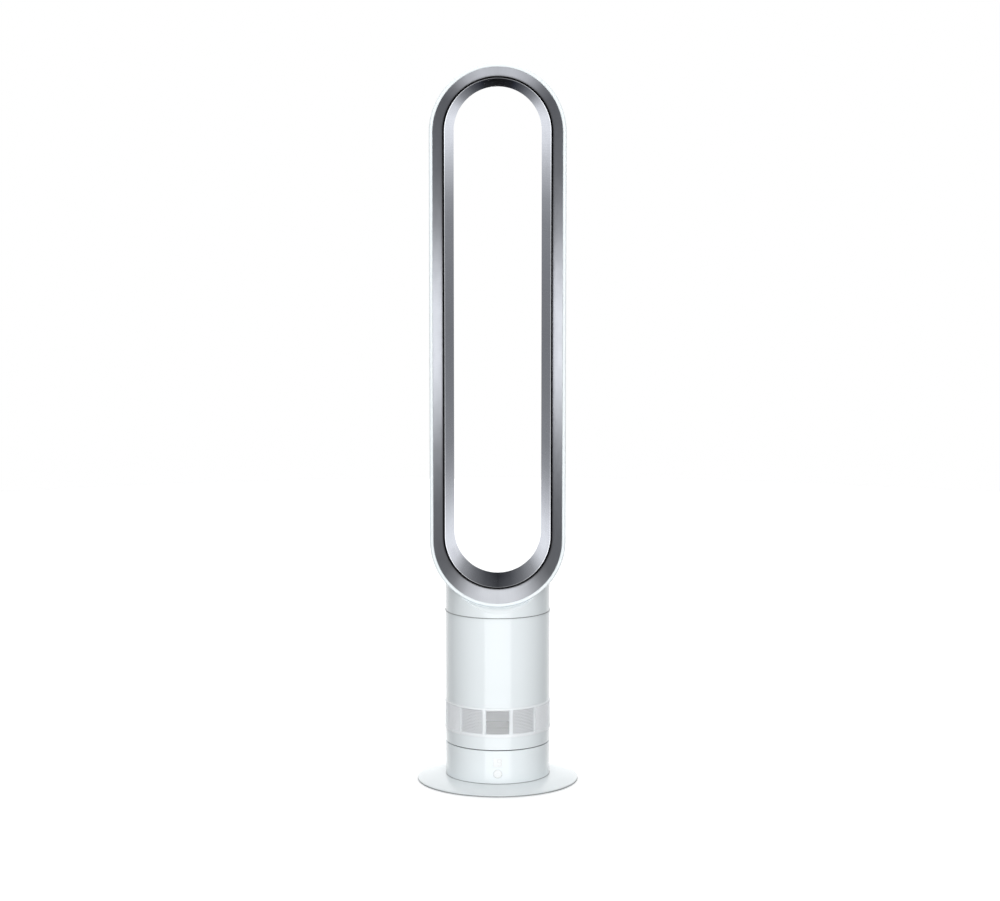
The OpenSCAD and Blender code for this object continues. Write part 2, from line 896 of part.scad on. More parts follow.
// Face of the wall from inside the slot out to the rim, and its thickened back
wall_face = concat(
    bend([mouth_r + 1.8, y_slot + 20], [mouth_r - 0.4, y_slot + 12], [mouth_r, y_slot + 3], mouth_steps),
    bend([mouth_r + 0.3, y_slot + 2], [82.1, y_front + 23.5], [R_rim - 0.1, y_front + 1.1], mouth_steps)
);

module diffuser_wall() {
    n = len(wall_face) - 1;
    back = [for (i = [n - 1:-1:0]) wall_face[i] + [wall_t, 0.6 * (n - i) / n]];
    color(SILVER)
        loop_sweep() polygon(concat(wall_face, [[R_rim - 0.1, y_front + 3.6]], back));
}

// Visible face of the lip between the throat and the slot
lip_face = bend([R_throat, y_back - gap], [R_throat + 5.1, y_back - 26], [lip_r, y_slot]);
lip_back = [for (i = [len(lip_face) - 1:-1:0]) let (t = i / (len(lip_face) - 1))
    lip_face[i] + [lip_root_t + (lip_tip_t - lip_root_t) * t, 0]];

module rear_lip() {
    color(SILVER) loop_sweep() polygon(concat(lip_face, lip_back));
}

module slot_spacers() {
    count = 6;
    fit = [gap, 0];
    color(SILVER)
        for (side = [0, 1], i = [0:count - 1])
            mirror([side, 0, 0])
                translate([0, 0, low_z + loop_side_h * (i + 0.5) / count])
                    linear_extrude(height = 3)
                        polygon([
                            lip_back[2] + fit, lip_back[3] + fit,
                            wall_face[2] - fit, wall_face[4] - fit
                        ]);
}

// Wedge in the loop's air inlet that divides the rising air between the two sides
module air_splitter() {
    depth = 80 - 2 * gap;
    half_w = 14;
    drop = 8;
    color(WHITE)
        translate([0, -depth / 2, loop_z + 2])
            rotate([-90, 0, 0])
                linear_extrude(height = depth)
                    polygon(concat(
                        [[-half_w, 0], [half_w, 0]],
                        arc([half_w + 1, drop], half_w, drop - 1.6, 270, 180, 6),
                        arc([-half_w - 1, drop], half_w, drop - 1.6, 0, -90, 6)
                    ));
}

// ---------------------------------------------------------------- the nodes

foot_ring();
base_plate();
base_plate_screws();
lower_housing();
cord_grommet();
pivot_tower();
pivot_tower_screws();
pivot_bush();
glide_ring();
control_board();
button_switch();
switch_plunger();
display_module();
display_window();
infrared_receiver();
power_board();
power_components();
oscillation_motor();
oscillation_motor_screws();
drive_pinion();
power_button();
turntable();
ring_gear_sector();
retaining_collar();
turntable_screws();
body_shell();
inlet_grille();
inlet_foam();
duct_seal();
isolation_mounts();
impeller_housing();
diffuser_vanes();
motor_bucket_lower();
motor_bucket_upper();
stator_core();
stator_windings();
bearing_outer_races();
motor_board();
bayonet_ring();
neck_gasket();
neck();
outer_shell();
diffuser_wall();
rear_lip();
slot_spacers();
air_splitter();
impeller();
impeller_nut();
motor_shaft();
rotor_core();
rotor_magnets();
bearing_inner_races();
bearing_balls();
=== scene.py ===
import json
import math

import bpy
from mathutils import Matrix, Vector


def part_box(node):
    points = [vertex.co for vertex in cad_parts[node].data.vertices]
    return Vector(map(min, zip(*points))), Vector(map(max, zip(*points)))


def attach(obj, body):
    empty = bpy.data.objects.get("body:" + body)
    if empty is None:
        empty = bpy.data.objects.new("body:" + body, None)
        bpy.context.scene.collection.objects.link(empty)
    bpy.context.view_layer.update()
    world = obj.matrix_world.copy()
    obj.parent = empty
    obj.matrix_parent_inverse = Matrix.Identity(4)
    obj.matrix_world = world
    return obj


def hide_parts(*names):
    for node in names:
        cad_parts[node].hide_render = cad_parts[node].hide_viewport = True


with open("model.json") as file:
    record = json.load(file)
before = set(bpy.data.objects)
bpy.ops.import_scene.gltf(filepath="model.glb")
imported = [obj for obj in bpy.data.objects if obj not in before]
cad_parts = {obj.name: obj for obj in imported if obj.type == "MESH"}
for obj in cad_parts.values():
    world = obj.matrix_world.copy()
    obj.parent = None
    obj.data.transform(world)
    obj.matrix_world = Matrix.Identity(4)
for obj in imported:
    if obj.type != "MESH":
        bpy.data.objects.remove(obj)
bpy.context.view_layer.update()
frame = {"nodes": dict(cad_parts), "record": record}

# %% [markdown]
# # A bladeless tower fan
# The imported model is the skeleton: every size and place below is read from its boxes. Air is
# drawn in through a band of fine holes low on the column, and leaves through a slot that runs
# all round a tall oval loop. We model the skin that shows, piece by piece, and give the inner
# parts that stay as they are a finish of their own. Lengths are metres, +Z is up and the front
# looks towards -Y.

MM = 0.001

shell_low, shell_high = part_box("outer_shell")
lip_low, lip_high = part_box("rear_lip")
column_low, column_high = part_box("body_shell")
housing_low, housing_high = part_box("lower_housing")
grille_low, grille_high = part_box("inlet_grille")
plate_low, plate_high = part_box("base_plate")

column_r = column_high.x
housing_r = housing_high.x
loop_r = shell_high.x
loop_front = shell_low.y
loop_back = shell_high.y
low_centre = shell_low.z + loop_r
high_centre = shell_high.z - loop_r
print(f"loop {2000 * loop_r:.0f} mm wide")
print(f"straight sides {1000 * (high_centre - low_centre):.0f} mm tall")
print(f"column {2000 * column_r:.1f} mm across, plate {2000 * plate_high.x:.0f} mm across")

# %% [markdown]
# ## Camera
# A product shot from about four metres away, with the lens just below the top of the
# loop and tilted down. From there the lower seams open into clear ellipses while the top of the
# loop is seen square on. A long lens keeps the sides nearly parallel.

# %% Place the camera
CAMERA_DISTANCE = 4.073
CAMERA_HEIGHT = 1.0118
CAMERA_TILT = math.radians(7.204)
camera_data = bpy.data.cameras.new("camera")
camera_data.lens = 105.7
camera_data.shift_x = 0.0023
camera_data.shift_y = -0.02
camera = bpy.data.objects.new("camera", camera_data)
bpy.context.scene.collection.objects.link(camera)
camera.location = (0, -CAMERA_DISTANCE, CAMERA_HEIGHT)
camera.rotation_euler = (math.pi / 2 - CAMERA_TILT, 0, 0)
bpy.context.scene.camera = camera
print(f"camera {CAMERA_DISTANCE} m in front, tilted down {math.degrees(CAMERA_TILT):.1f} degrees")

# %% [markdown]
# ## Tools for the workshop
# Most of this fan is turned: a ring of points is drawn up from height to height, as a potter
# draws up a wall. The loop is swept: one section is spun round the lower half circle, drawn up
# the side, spun over the top and drawn down again. Two helpers hold those two ways of working,
# and a third puts a finished piece in its place in the assembly.

# %% Take hold of one object at a time
def free_hands():
    if bpy.context.object and bpy.context.object.mode != "OBJECT":
        bpy.ops.object.mode_set(mode="OBJECT")
    bpy.ops.object.select_all(action="DESELECT")


def pick_up(piece):
    free_hands()
    piece.select_set(True)
    bpy.context.view_layer.objects.active = piece


def begin(name):
    """Names the primitive that was just added and puts its place into its mesh."""
    piece = bpy.context.object
    piece.name = name
    piece.data.name = name
    bpy.ops.object.transform_apply(location=True, rotation=True, scale=True)
    return piece


def tidy(piece, merge=1e-6):
    """Merges doubles and turns every face outwards."""
    pick_up(piece)
    bpy.ops.object.mode_set(mode="EDIT")
    bpy.ops.mesh.select_all(action="SELECT")
    bpy.ops.mesh.remove_doubles(threshold=merge)
    bpy.ops.mesh.normals_make_consistent(inside=False)
    bpy.ops.object.mode_set(mode="OBJECT")


def smooth(piece, angle=35):
    pick_up(piece)
    bpy.ops.object.shade_smooth_by_angle(angle=math.radians(angle))


def round_edges(piece, width, angle=30, segments=3):
    pick_up(piece)
    bevel = piece.modifiers.new("rounded edges", "BEVEL")
    bevel.width = width
    bevel.segments = segments
    bevel.limit_method = "ANGLE"
    bevel.angle_limit = math.radians(angle)
    bevel.use_clamp_overlap = True
    bpy.ops.object.modifier_apply(modifier=bevel.name)


def carve(piece, cutter, operation="DIFFERENCE"):
    """Cuts one piece with another, and throws the cutter away."""
    pick_up(piece)
    cut = piece.modifiers.new("cut", "BOOLEAN")
    cut.operation = operation
    cut.solver = "EXACT"
    cut.object = cutter
    bpy.ops.object.modifier_apply(modifier=cut.name)
    bpy.data.objects.remove(cutter, do_unlink=True)


def join(pieces, name):
    pick_up(pieces[0])
    for piece in pieces[1:]:
        piece.select_set(True)
    bpy.ops.object.join()
    pieces[0].name = name
    return pieces[0]


print("bench tools ready")

# %% [markdown]
# The turning helper takes a list of (radius, height) pairs. Where the list ends on the pair it
# began with, the section closes on itself and makes a tube wall; otherwise the ends are capped.

# %% Draw up a turned piece
def turned(name, rings, count=160, capped=False):
    free_hands()
    radius, height = rings[0]
    bpy.ops.mesh.primitive_circle_add(vertices=count, radius=radius, location=(0, 0, height))
    piece = begin(name)
    bpy.ops.object.mode_set(mode="EDIT")
    bpy.ops.mesh.select_all(action="SELECT")
    if capped:
        bpy.ops.mesh.edge_face_add()
    for next_radius, next_height in rings[1:]:
        if capped:
            bpy.ops.mesh.extrude_region_move()
        else:
            bpy.ops.mesh.extrude_edges_move()
        grow = next_radius / radius
        bpy.ops.transform.resize(value=(grow, grow, 1), center_override=(0, 0, height))
        bpy.ops.transform.translate(value=(0, 0, next_height - height))
        radius, height = next_radius, next_height
    bpy.ops.object.mode_set(mode="OBJECT")
    tidy(piece)
    print(f"turned {name}: {len(piece.data.polygons)} faces")
    return piece


def quarter(centre_r, centre_z, size_r, size_z, start, end, steps=6):
    """Points round a quarter of an ellipse, for a rounded corner of a turned piece."""
    angles = [math.radians(start + (end - start) * i / steps) for i in range(steps + 1)]
    return [(centre_r + size_r * math.cos(a), centre_z + size_z * math.sin(a)) for a in angles]


print("turning ready")

# %% [markdown]
# The sweeping helper takes a closed section as (distance from the loop's middle line, depth)
# pairs. The points also learn how far along the loop they are, because the lacquer's painted
# sheen and its fine cross-brushing follow the loop round: 0 is halfway up a side, 1 is where
# the round end starts, and 2 is the very top or bottom.

# %% Sweep a section round the loop
SIDE = high_centre - low_centre
SLOT_R = 75 * MM


def along_loop(point):
    """How far round the loop a point is, and the distance in metres that this stands for."""
    middle = (low_centre + high_centre) / 2
    end = high_centre if point.z > middle else low_centre
    if low_centre <= point.z <= high_centre:
        share = abs(point.z - middle) / (SIDE / 2)
        return share, point.z - middle
    angle = math.atan2(abs(point.z - end), abs(point.x))
    length = SIDE / 2 + angle * SLOT_R
    return 1 + angle / (math.pi / 2), math.copysign(length, point.z - middle)


def mark_sweep(piece):
    marks = piece.data.attributes.new("along", "FLOAT", "POINT")
    lengths = piece.data.attributes.new("run", "FLOAT", "POINT")
    for i, vertex in enumerate(piece.data.vertices):
        marks.data[i].value, lengths.data[i].value = along_loop(vertex.co)


def swept(name, section, arc_steps=96, side_steps=48):
    free_hands()
    bpy.ops.mesh.primitive_circle_add(vertices=len(section), radius=0.01)
    piece = begin(name)
    for vertex, (radius, depth) in zip(piece.data.vertices, section):
        vertex.co = (radius, depth, low_centre)
    bpy.ops.object.mode_set(mode="EDIT")
    bpy.ops.mesh.select_all(action="SELECT")
    for centre, climb in ((low_centre, SIDE), (high_centre, -SIDE)):
        bpy.ops.mesh.spin(steps=arc_steps, angle=-math.pi, center=(0, 0, centre), axis=(0, 1, 0))
        for step in range(side_steps):
            bpy.ops.mesh.extrude_edges_move(
                TRANSFORM_OT_translate={"value": (0, 0, climb / side_steps)}
            )
    bpy.ops.object.mode_set(mode="OBJECT")
    tidy(piece, merge=1e-5)
    mark_sweep(piece)
    top = max(v.co.z for v in piece.data.vertices)
    print(f"swept {name}: {len(piece.data.polygons)} faces, top at {1000 * top:.1f} mm")
    return piece


def curve(first, pull, last, steps=8):
    """Points on a smooth curve from first to last that leans towards pull."""
    points = []
    for i in range(steps + 1):
        t = i / steps
        points.append(tuple(
            (1 - t) ** 2 * a + 2 * t * (1 - t) * b + t * t * c for a, b, c in zip(first, pull, last)
        ))
    return points


print("sweeping ready")

# %% [markdown]
# ## The loop's outer shell
# A hollow moulding in gloss white: a narrow rim round the front, a flat side, and a back that
# rounds over to the throat. One closed section, swept round the loop, gives the whole of it
# with an even wall. Solidifying a surface would thin the wall on the tight rim, so the section
# has both of its sides from the start.

# %% Sweep the outer shell
RIM_INNER_R = 89 * MM
SHELL_WALL = 2.2 * MM
BACK_DEPTH = 14 * MM
THROAT_R = (lip_high.z - lip_low.z - SIDE) / 2 - 12.3 * MM
back_centre = (loop_r + THROAT_R) / 2
back_round = (loop_r - THROAT_R) / 2
back_y = loop_back - BACK_DEPTH

rim = [
    (RIM_INNER_R, loop_front + 1.0 * MM),
    (RIM_INNER_R + 0.4 * MM, loop_front + 0.45 * MM),
    (RIM_INNER_R + 1.1 * MM, loop_front + 0.12 * MM),
] + quarter(loop_r - 2.3 * MM, loop_front + 2.3 * MM, 2.3 * MM, 2.3 * MM, -90, 0, 8)
side_line = [(loop_r, 0)]
back_round_over = quarter(back_centre, back_y, back_round, BACK_DEPTH, 0, 180, 24)
inside_round = quarter(
    back_centre, back_y, back_round - SHELL_WALL, BACK_DEPTH - SHELL_WALL, 180, 0, 16
)
inside_line = [
    (loop_r - SHELL_WALL, 0),
    (loop_r - SHELL_WALL, loop_front + 5 * MM),
    (RIM_INNER_R, loop_front + 3.5 * MM),
]
shell = swept("loop_shell", rim + side_line + back_round_over + inside_round + inside_line)
print(f"throat {2000 * THROAT_R:.1f} mm wide")

# %% [markdown]
# Air enters the loop through the bottom of this shell. On the real moulding the core pulls out
# downwards and leaves an opening there. A block the size of that opening is cut away, which
# leaves the wall's edge closed all round.

# %% Open the air's way in
def block(name, low, high):
    free_hands()
    bpy.ops.mesh.primitive_cube_add(size=1, location=[(a + b) / 2 for a, b in zip(low, high)])
    piece = bpy.context.object
    piece.scale = [b - a for a, b in zip(low, high)]
    return begin(name)


INLET_HALF_WIDTH, INLET_HALF_DEPTH = 50 * MM, 40 * MM
carve(shell, block(
    "air_way",
    (-INLET_HALF_WIDTH, -INLET_HALF_DEPTH, shell_low.z - 10 * MM),
    (INLET_HALF_WIDTH, INLET_HALF_DEPTH, shell_low.z + 22 * MM),
))
smooth(shell, 40)
print("air way in cut through the bottom of the shell")

# %% [markdown]
# ## The diffuser wall and the rear lip
# Two silver mouldings line the loop. The lip runs forward from the throat and thins to an edge;
# the wall starts behind that edge and opens out to the rim, so the air that leaves the slot
# between them clings to the wall. Each is a thin section swept like the shell.

# %% Sweep the silver pieces
LIP_EDGE_R = 73.2 * MM
LIP_EDGE_THICK = 0.5 * MM
LIP_ROOT_THICK = 2.0 * MM
SLOT = 0.8 * MM
WALL_THICK = 2.0 * MM
WALL_END_R = RIM_INNER_R - 0.1 * MM
slot_y = lip_low.y
mouth_r = LIP_EDGE_R + LIP_EDGE_THICK + SLOT

lip_face = curve((THROAT_R, back_y - 0.1 * MM), (THROAT_R + 5.1 * MM, back_y - 26 * MM),
                 (LIP_EDGE_R, slot_y), 16)
lip_back = [
    (r + LIP_ROOT_THICK + (LIP_EDGE_THICK - LIP_ROOT_THICK) * i / 16, y)
    for i, (r, y) in enumerate(lip_face)
]
lip = swept("loop_lip", lip_face + lip_back[::-1])
smooth(lip, 40)

wall_face = curve((mouth_r + 1.8 * MM, slot_y + 20 * MM), (mouth_r - 0.4 * MM, slot_y + 12 * MM),
                  (mouth_r, slot_y + 3 * MM), 8)
wall_face += curve((mouth_r + 0.3 * MM, slot_y + 2 * MM), (82.1 * MM, loop_front + 23.5 * MM),
                   (WALL_END_R, loop_front + 1.1 * MM), 16)
wall_back = [(WALL_END_R, loop_front + 3.6 * MM)] + [
    (r + WALL_THICK, y + 0.6 * MM * (len(wall_face) - i) / len(wall_face))
    for i, (r, y) in reversed(list(enumerate(wall_face[:-1])))
]
wall = swept("loop_wall", wall_face + wall_back)
smooth(wall, 40)
print(f"slot {1000 * SLOT:.1f} mm wide at {1000 * mouth_r:.1f} mm from the axis")

# %% [markdown]
# ## The neck
# The neck carries the loop on the column. It is a plain tube at the sides, while its front and
# back are rounded in to meet the loop. That rounding follows the loop's round end, so it is a
# shape turned about the same axis. We turn it, keep only what it shares with a cylinder, and
# cut the result with the loop's own outline and with a smaller copy for the hollow.

# %% Cut the neck from a cylinder
NECK_WALL = 2.5 * MM
BORE_R = 68 * MM
gasket_low, gasket_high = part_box("neck_gasket")
neck_bottom = gasket_high.z + 0.05 * MM


def on_loop_axis(piece):
    """Lays a turned piece on the axis of the loop's lower round end."""
    piece.data.transform(
        Matrix.Translation((0, 0, low_centre)) @ Matrix.Rotation(-math.pi / 2, 4, "X")
    )
    return piece


def shoulder_block(name, radius, inset, bottom, top):
    """A cylinder rounded in at front and back, as the outside or the inside of the neck."""
    front_y = loop_front + 1 * MM + inset
    rear_y = back_y + 11 * MM - inset
    shoulder = loop_r + 8 * MM + inset
    cylinder = turned(name, [(radius, bottom), (radius, top)], count=240, capped=True)
    outline = quarter(shoulder, front_y, 7 * MM, radius + front_y, 180, 268, 20)
    outline += [(shoulder, -radius - 0.01), (2 * loop_r, -radius - 0.01)]
    outline += [(2 * loop_r, radius + 0.01), (shoulder, radius + 0.01)]
    outline += quarter(shoulder, rear_y, 14 * MM, radius - rear_y, 92, 180, 20)
    rounding = on_loop_axis(turned("rounding", outline, 360, capped=True))
    carve(cylinder, rounding, "INTERSECT")
    return cylinder


neck_top = low_centre - math.sqrt(loop_r**2 - column_r**2) + 4 * MM
neck = shoulder_block("neck_shell", column_r, 0, neck_bottom, neck_top)
carve(neck, shoulder_block(
    "hollow", column_r - NECK_WALL, NECK_WALL, neck_bottom + 2 * MM, neck_top + 0.01
))
carve(neck, turned(
    "bore", [(BORE_R, neck_bottom - 0.01), (BORE_R, neck_bottom + 3 * MM)], capped=True
))

carve(neck, on_loop_axis(turned(
    "loop_space",
    [(loop_r + 0.1 * MM, loop_front - 0.03), (loop_r + 0.1 * MM, 0)]
    + quarter(back_centre, back_y, back_round + 0.1 * MM, BACK_DEPTH, 0, 90, 16)
    + [(back_centre, loop_back + 0.02)],
    360, capped=True,
)))
tidy(neck, merge=2e-5)
smooth(neck, 28)
print(f"neck {1000 * (neck_top - neck_bottom):.0f} mm tall, {len(neck.data.polygons)} faces")

# %% [markdown]
# ## The column
# The column is a plain tube with a shallow groove for the inlet grille. Behind the grille the
# wall is open in twelve windows with narrow ribs between them. The tube is turned with a point
# at every degree, so the windows' edges fall on whole degrees.

# %% Turn the column and open its windows
WALL = 2.5 * MM
PANELS = 12
PANEL_TURN = 360 / PANELS
EASE = 0.35 * MM
band_low, band_high = grille_low.z, grille_high.z
screen_low, screen_high = band_low + 4.3 * MM, band_high - 2.9 * MM
GROOVE = 0.8 * MM


def closed_tube(name, outside, inner, count=360):
    """Turns a wall whose outside is a list of rings and whose inside is one radius."""
    low, high = outside[0][1], outside[-1][1]
    inside = [(inner, z) for r, z in reversed(outside) if low < z < high]
    rings = outside + [(inner, high)] + inside + [(inner, low), outside[0]]
    piece = turned(name, rings, count)
    tidy(piece, merge=1e-5)
    return piece


groove_low, groove_high = band_low - 0.1 * MM, band_high + 0.1 * MM
outside = quarter(column_r - EASE, column_low.z + EASE, EASE, EASE, -90, 0, 4)
outside += [
    (column_r, groove_low), (column_r - GROOVE, groove_low + 0.001 * MM),
    (column_r - GROOVE, screen_low), (column_r - GROOVE, screen_high),
    (column_r - GROOVE, groove_high - 0.001 * MM), (column_r, groove_high),
]
outside += quarter(column_r - EASE, column_high.z - EASE, EASE, EASE, 0, 90, 4)
column = closed_tube("column_shell", outside, column_r - WALL)


def panel_offset(point):
    """Degrees from the middle of the nearest panel."""
    angle = math.degrees(math.atan2(point.y, point.x)) + 90
    return (angle + PANEL_TURN / 2) % PANEL_TURN - PANEL_TURN / 2


def which_panel(point):
    angle = math.degrees(math.atan2(point.y, point.x)) + 90
    return int((angle + PANEL_TURN / 2) % 360 // PANEL_TURN)


def cut_window(piece, test):
    """Takes the faces that pass a test out of both skins and bridges the edges that are left."""
    pick_up(piece)
    bpy.ops.object.mode_set(mode="EDIT")
    bpy.ops.mesh.select_mode(type="FACE")
    bpy.ops.mesh.select_all(action="DESELECT")
    bpy.ops.object.mode_set(mode="OBJECT")
    for polygon in piece.data.polygons:
        polygon.select = test(polygon.center)
    bpy.ops.object.mode_set(mode="EDIT")
    bpy.ops.mesh.delete(type="FACE")
    bpy.ops.mesh.select_mode(type="EDGE")
    bpy.ops.mesh.select_all(action="DESELECT")
    bpy.ops.mesh.select_non_manifold(extend=False)
    bpy.ops.mesh.bridge_edge_loops()
    bpy.ops.object.mode_set(mode="OBJECT")


def open_windows(piece, half_angle, low, high):
    for panel in range(PANELS):
        cut_window(
            piece,
            lambda c: which_panel(c) == panel and abs(panel_offset(c)) < half_angle
            and low < c.z < high,
        )
    tidy(piece, merge=1e-5)
    print(f"{PANELS} windows in {piece.name}, {len(piece.data.polygons)} faces")


open_windows(column, 13, screen_low, screen_high)
smooth(column, 40)

# %% [markdown]
# ## The inlet grille
# The grille is a proud white band with a chamfered top, and twelve perforated screens set in
# it. The holes of one screen all run the same way, in line with its middle and sloping down by
# twelve degrees: look at a screen from in front and a little above and you see through it, look
# from the side and the holes' walls close the view.
# A screen starts as one hexagonal cell with a hexagonal hole. Arrays lay out the honeycomb, a
# bisect trims it, and then it is wrapped round the column and given its depth.

# %% Turn the band and open it for the screens
band_r = grille_high.x
CHAMFER = 2 * MM
band_outside = [
    (band_r - 0.2 * MM, band_low), (band_r, band_low + 0.2 * MM),
    (band_r, screen_low), (band_r, screen_high), (band_r, band_high - CHAMFER),
    (band_r - 0.7 * MM, band_high - 0.15 * MM), (band_r - 0.9 * MM, band_high),
]
band = closed_tube("grille_band", band_outside, column_r - GROOVE + 0.1 * MM)
open_windows(band, 14, screen_low, screen_high)
round_edges(band, 0.15 * MM, angle=50, segments=2)
smooth(band, 40)
print(f"band {1000 * (band_high - band_low):.0f} mm tall, {len(band.data.polygons)} faces")

# %% [markdown]
# A real screen is moulded in one with the band, from a tool with hundreds of six-sided pins. We
# take one cell with a six-sided hole, repeat it across and up, and trim it to the window. The
# honeycomb leaves the same narrow web between all neighbours, so it is strong and very open.

# %% Make one perforated screen
HOLE_PITCH = 2.4 * MM
HOLE_WIDTH = 1.78 * MM
SCREEN_DEPTH = 3.1 * MM
SCREEN_SLOPE = math.tan(math.radians(12))
cell_r = HOLE_PITCH / math.sqrt(3)
row_pitch = 1.5 * cell_r
screen_r = band_r - 0.35 * MM
half_width = screen_r * math.radians(14) + 0.1 * MM
columns = int(2 * half_width / HOLE_PITCH) + 3
rows = int((screen_high - screen_low) / row_pitch) // 2 + 2

free_hands()
bpy.ops.mesh.primitive_circle_add(
    vertices=6, radius=cell_r, fill_type="NGON", rotation=(math.pi / 2, 0, 0), location=(0, 0, 0)
)
screen = begin("screen")
if abs(max(v.co.z for v in screen.data.vertices) - cell_r) > 1e-6:
    screen.data.transform(Matrix.Rotation(math.pi / 6, 4, "Y"))
bpy.ops.object.mode_set(mode="EDIT")
bpy.ops.mesh.select_all(action="SELECT")
bpy.ops.mesh.inset(thickness=(HOLE_PITCH - HOLE_WIDTH) / 2)
bpy.ops.mesh.delete(type="FACE")
bpy.ops.mesh.select_all(action="SELECT")
bpy.ops.mesh.duplicate_move(
    TRANSFORM_OT_translate={"value": (HOLE_PITCH / 2, 0, row_pitch)}
)
bpy.ops.object.mode_set(mode="OBJECT")
for title, count, step in (
    ("across", columns, (HOLE_PITCH, 0, 0)), ("up", rows, (0, 0, 2 * row_pitch)),
):
    array = screen.modifiers.new(title, "ARRAY")
    array.count = count
    array.use_relative_offset = False
    array.use_constant_offset = True
    array.constant_offset_displace = step
    array.use_merge_vertices = True
    array.merge_threshold = 1e-6
    bpy.ops.object.modifier_apply(modifier=array.name)
bpy.ops.object.mode_set(mode="EDIT")
bpy.ops.mesh.select_all(action="SELECT")
bpy.ops.mesh.remove_doubles(threshold=1e-6)
bpy.ops.transform.translate(
    value=(-(columns - 1) * HOLE_PITCH / 2 - HOLE_PITCH / 4, 0, screen_low - row_pitch)
)
for place, normal in (
    ((-half_width, 0, 0), (-1, 0, 0)), ((half_width, 0, 0), (1, 0, 0)),
    ((0, 0, screen_low), (0, 0, -1)), ((0, 0, screen_high), (0, 0, 1)),
):
    bpy.ops.mesh.select_all(action="SELECT")
    bpy.ops.mesh.bisect(plane_co=place, plane_no=normal, clear_outer=True, threshold=1e-7)
bpy.ops.object.mode_set(mode="OBJECT")
print(f"one screen: {2 * rows} rows of {columns} cells, {len(screen.data.polygons)} faces")

# %% [markdown]
# The flat screen is now bent to the column's curve and pulled inwards. Every point moves by the
# same amount, so all the holes of a screen run the same way, just as straight pins leave them.

# %% Wrap the screen round the column and give it depth
for vertex in screen.data.vertices:
    turn = vertex.co.x / screen_r
    vertex.co.x = screen_r * math.sin(turn)
    vertex.co.y = -screen_r * math.cos(turn)
pick_up(screen)
bpy.ops.object.mode_set(mode="EDIT")
bpy.ops.mesh.select_all(action="SELECT")
bpy.ops.mesh.extrude_region_move(
    TRANSFORM_OT_translate={"value": (0, SCREEN_DEPTH, -SCREEN_DEPTH * SCREEN_SLOPE)}
)
bpy.ops.object.mode_set(mode="OBJECT")
tidy(screen)

screens = [screen]
for panel in range(1, PANELS):
    copy = screen.copy()
    copy.data = screen.data.copy()
    bpy.context.scene.collection.objects.link(copy)
    copy.rotation_euler = (0, 0, math.radians(panel * PANEL_TURN))
    pick_up(copy)
    bpy.ops.object.transform_apply(location=True, rotation=True, scale=True)
    screens.append(copy)
screens = join(screens, "grille_screens")
print(f"{PANELS} screens, {len(screens.data.polygons)} faces")

# %% [markdown]
# ## The seal under the neck
# A thin grey ring fills the joint between the column and the neck. It stands proud by less than
# a millimetre, just enough to draw a fine line round the column.

# %% Turn the seal
seal = closed_tube("neck_seal", [
    (gasket_high.x - 0.3 * MM, gasket_low.z), (gasket_high.x, gasket_low.z + 0.3 * MM),
    (gasket_high.x, gasket_high.z - 0.3 * MM), (gasket_high.x - 0.3 * MM, gasket_high.z),
], column_r - WALL, 240)
smooth(seal, 50)
print(f"seal {1000 * (gasket_high.z - gasket_low.z):.1f} mm tall")

# %% [markdown]
# ## The lower housing
# The fixed drum that the column turns on. It has the power button and a small window in front,
# and a hole for the mains cord behind. The drum is turned, then the holes are cut with solids
# of the right size, and the window is a matching curved tile that leaves a hairline round it.

# %% Turn the housing and cut its holes
shelf_in = 60 * MM
housing_wall = WALL
FOOT_EASE = 0.9 * MM
housing_outside = quarter(
    housing_r - FOOT_EASE, housing_low.z + FOOT_EASE, FOOT_EASE, FOOT_EASE, -90, 0, 6
)
housing_outside += [(housing_r, 23.5 * MM), (housing_r, 39.6 * MM)]
housing_outside += quarter(housing_r - EASE, housing_high.z - EASE, EASE, EASE, 0, 90, 4)
housing = closed_tube("housing_shell", housing_outside, housing_r - housing_wall)

button_z = 23.5 * MM
button_r = 6 * MM
window_low, window_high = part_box("display_window")
grommet_low, grommet_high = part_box("cord_grommet")
grommet_z = (grommet_low.z + grommet_high.z) / 2


def post(name, radius, y_from, y_to, z, count=64):
    """A short cylinder that lies along Y."""
    free_hands()
    bpy.ops.mesh.primitive_cylinder_add(
        vertices=count, radius=radius, depth=y_to - y_from, rotation=(math.pi / 2, 0, 0),
        location=(0, (y_from + y_to) / 2, z),
    )
    return begin(name)


HAIRLINE = 0.18 * MM
carve(housing, post("button_hole", button_r + HAIRLINE, -0.08, -0.06, button_z))
TILE_GAP = 0.04 * MM
carve(housing, block(
    "window_hole",
    (window_low.x - TILE_GAP, -0.08, window_low.z - TILE_GAP),
    (window_high.x + TILE_GAP, -0.06, window_high.z + TILE_GAP),
))
carve(housing, post("cord_hole", 6.1 * MM, 0.06, 0.08, grommet_z))

shelf_z = 49.9 * MM
shelf = turned("shelf", [
    (housing_r - housing_wall, shelf_z), (shelf_in, shelf_z), (shelf_in, shelf_z - 3.9 * MM),
    (housing_r - housing_wall, shelf_z - 3.9 * MM), (housing_r - housing_wall, shelf_z),
], 240)
pan = turned("pan", [
    (housing_r - housing_wall, housing_low.z), (housing_r - housing_wall, housing_low.z + 2.4 * MM),
], 240, capped=True)
housing = join([housing, shelf, pan], "housing_shell")
smooth(housing, 30)
print(f"housing {1000 * (housing_high.z - housing_low.z):.0f} mm tall")

# %% [markdown]
# The button is a shallow turned cap with a soft edge, and carries an engraved standby sign: a
# ring that is open at the top and a short stroke. The sign is cut with solids bent from simple
# primitives, because an engraving has to have real depth to catch the light.

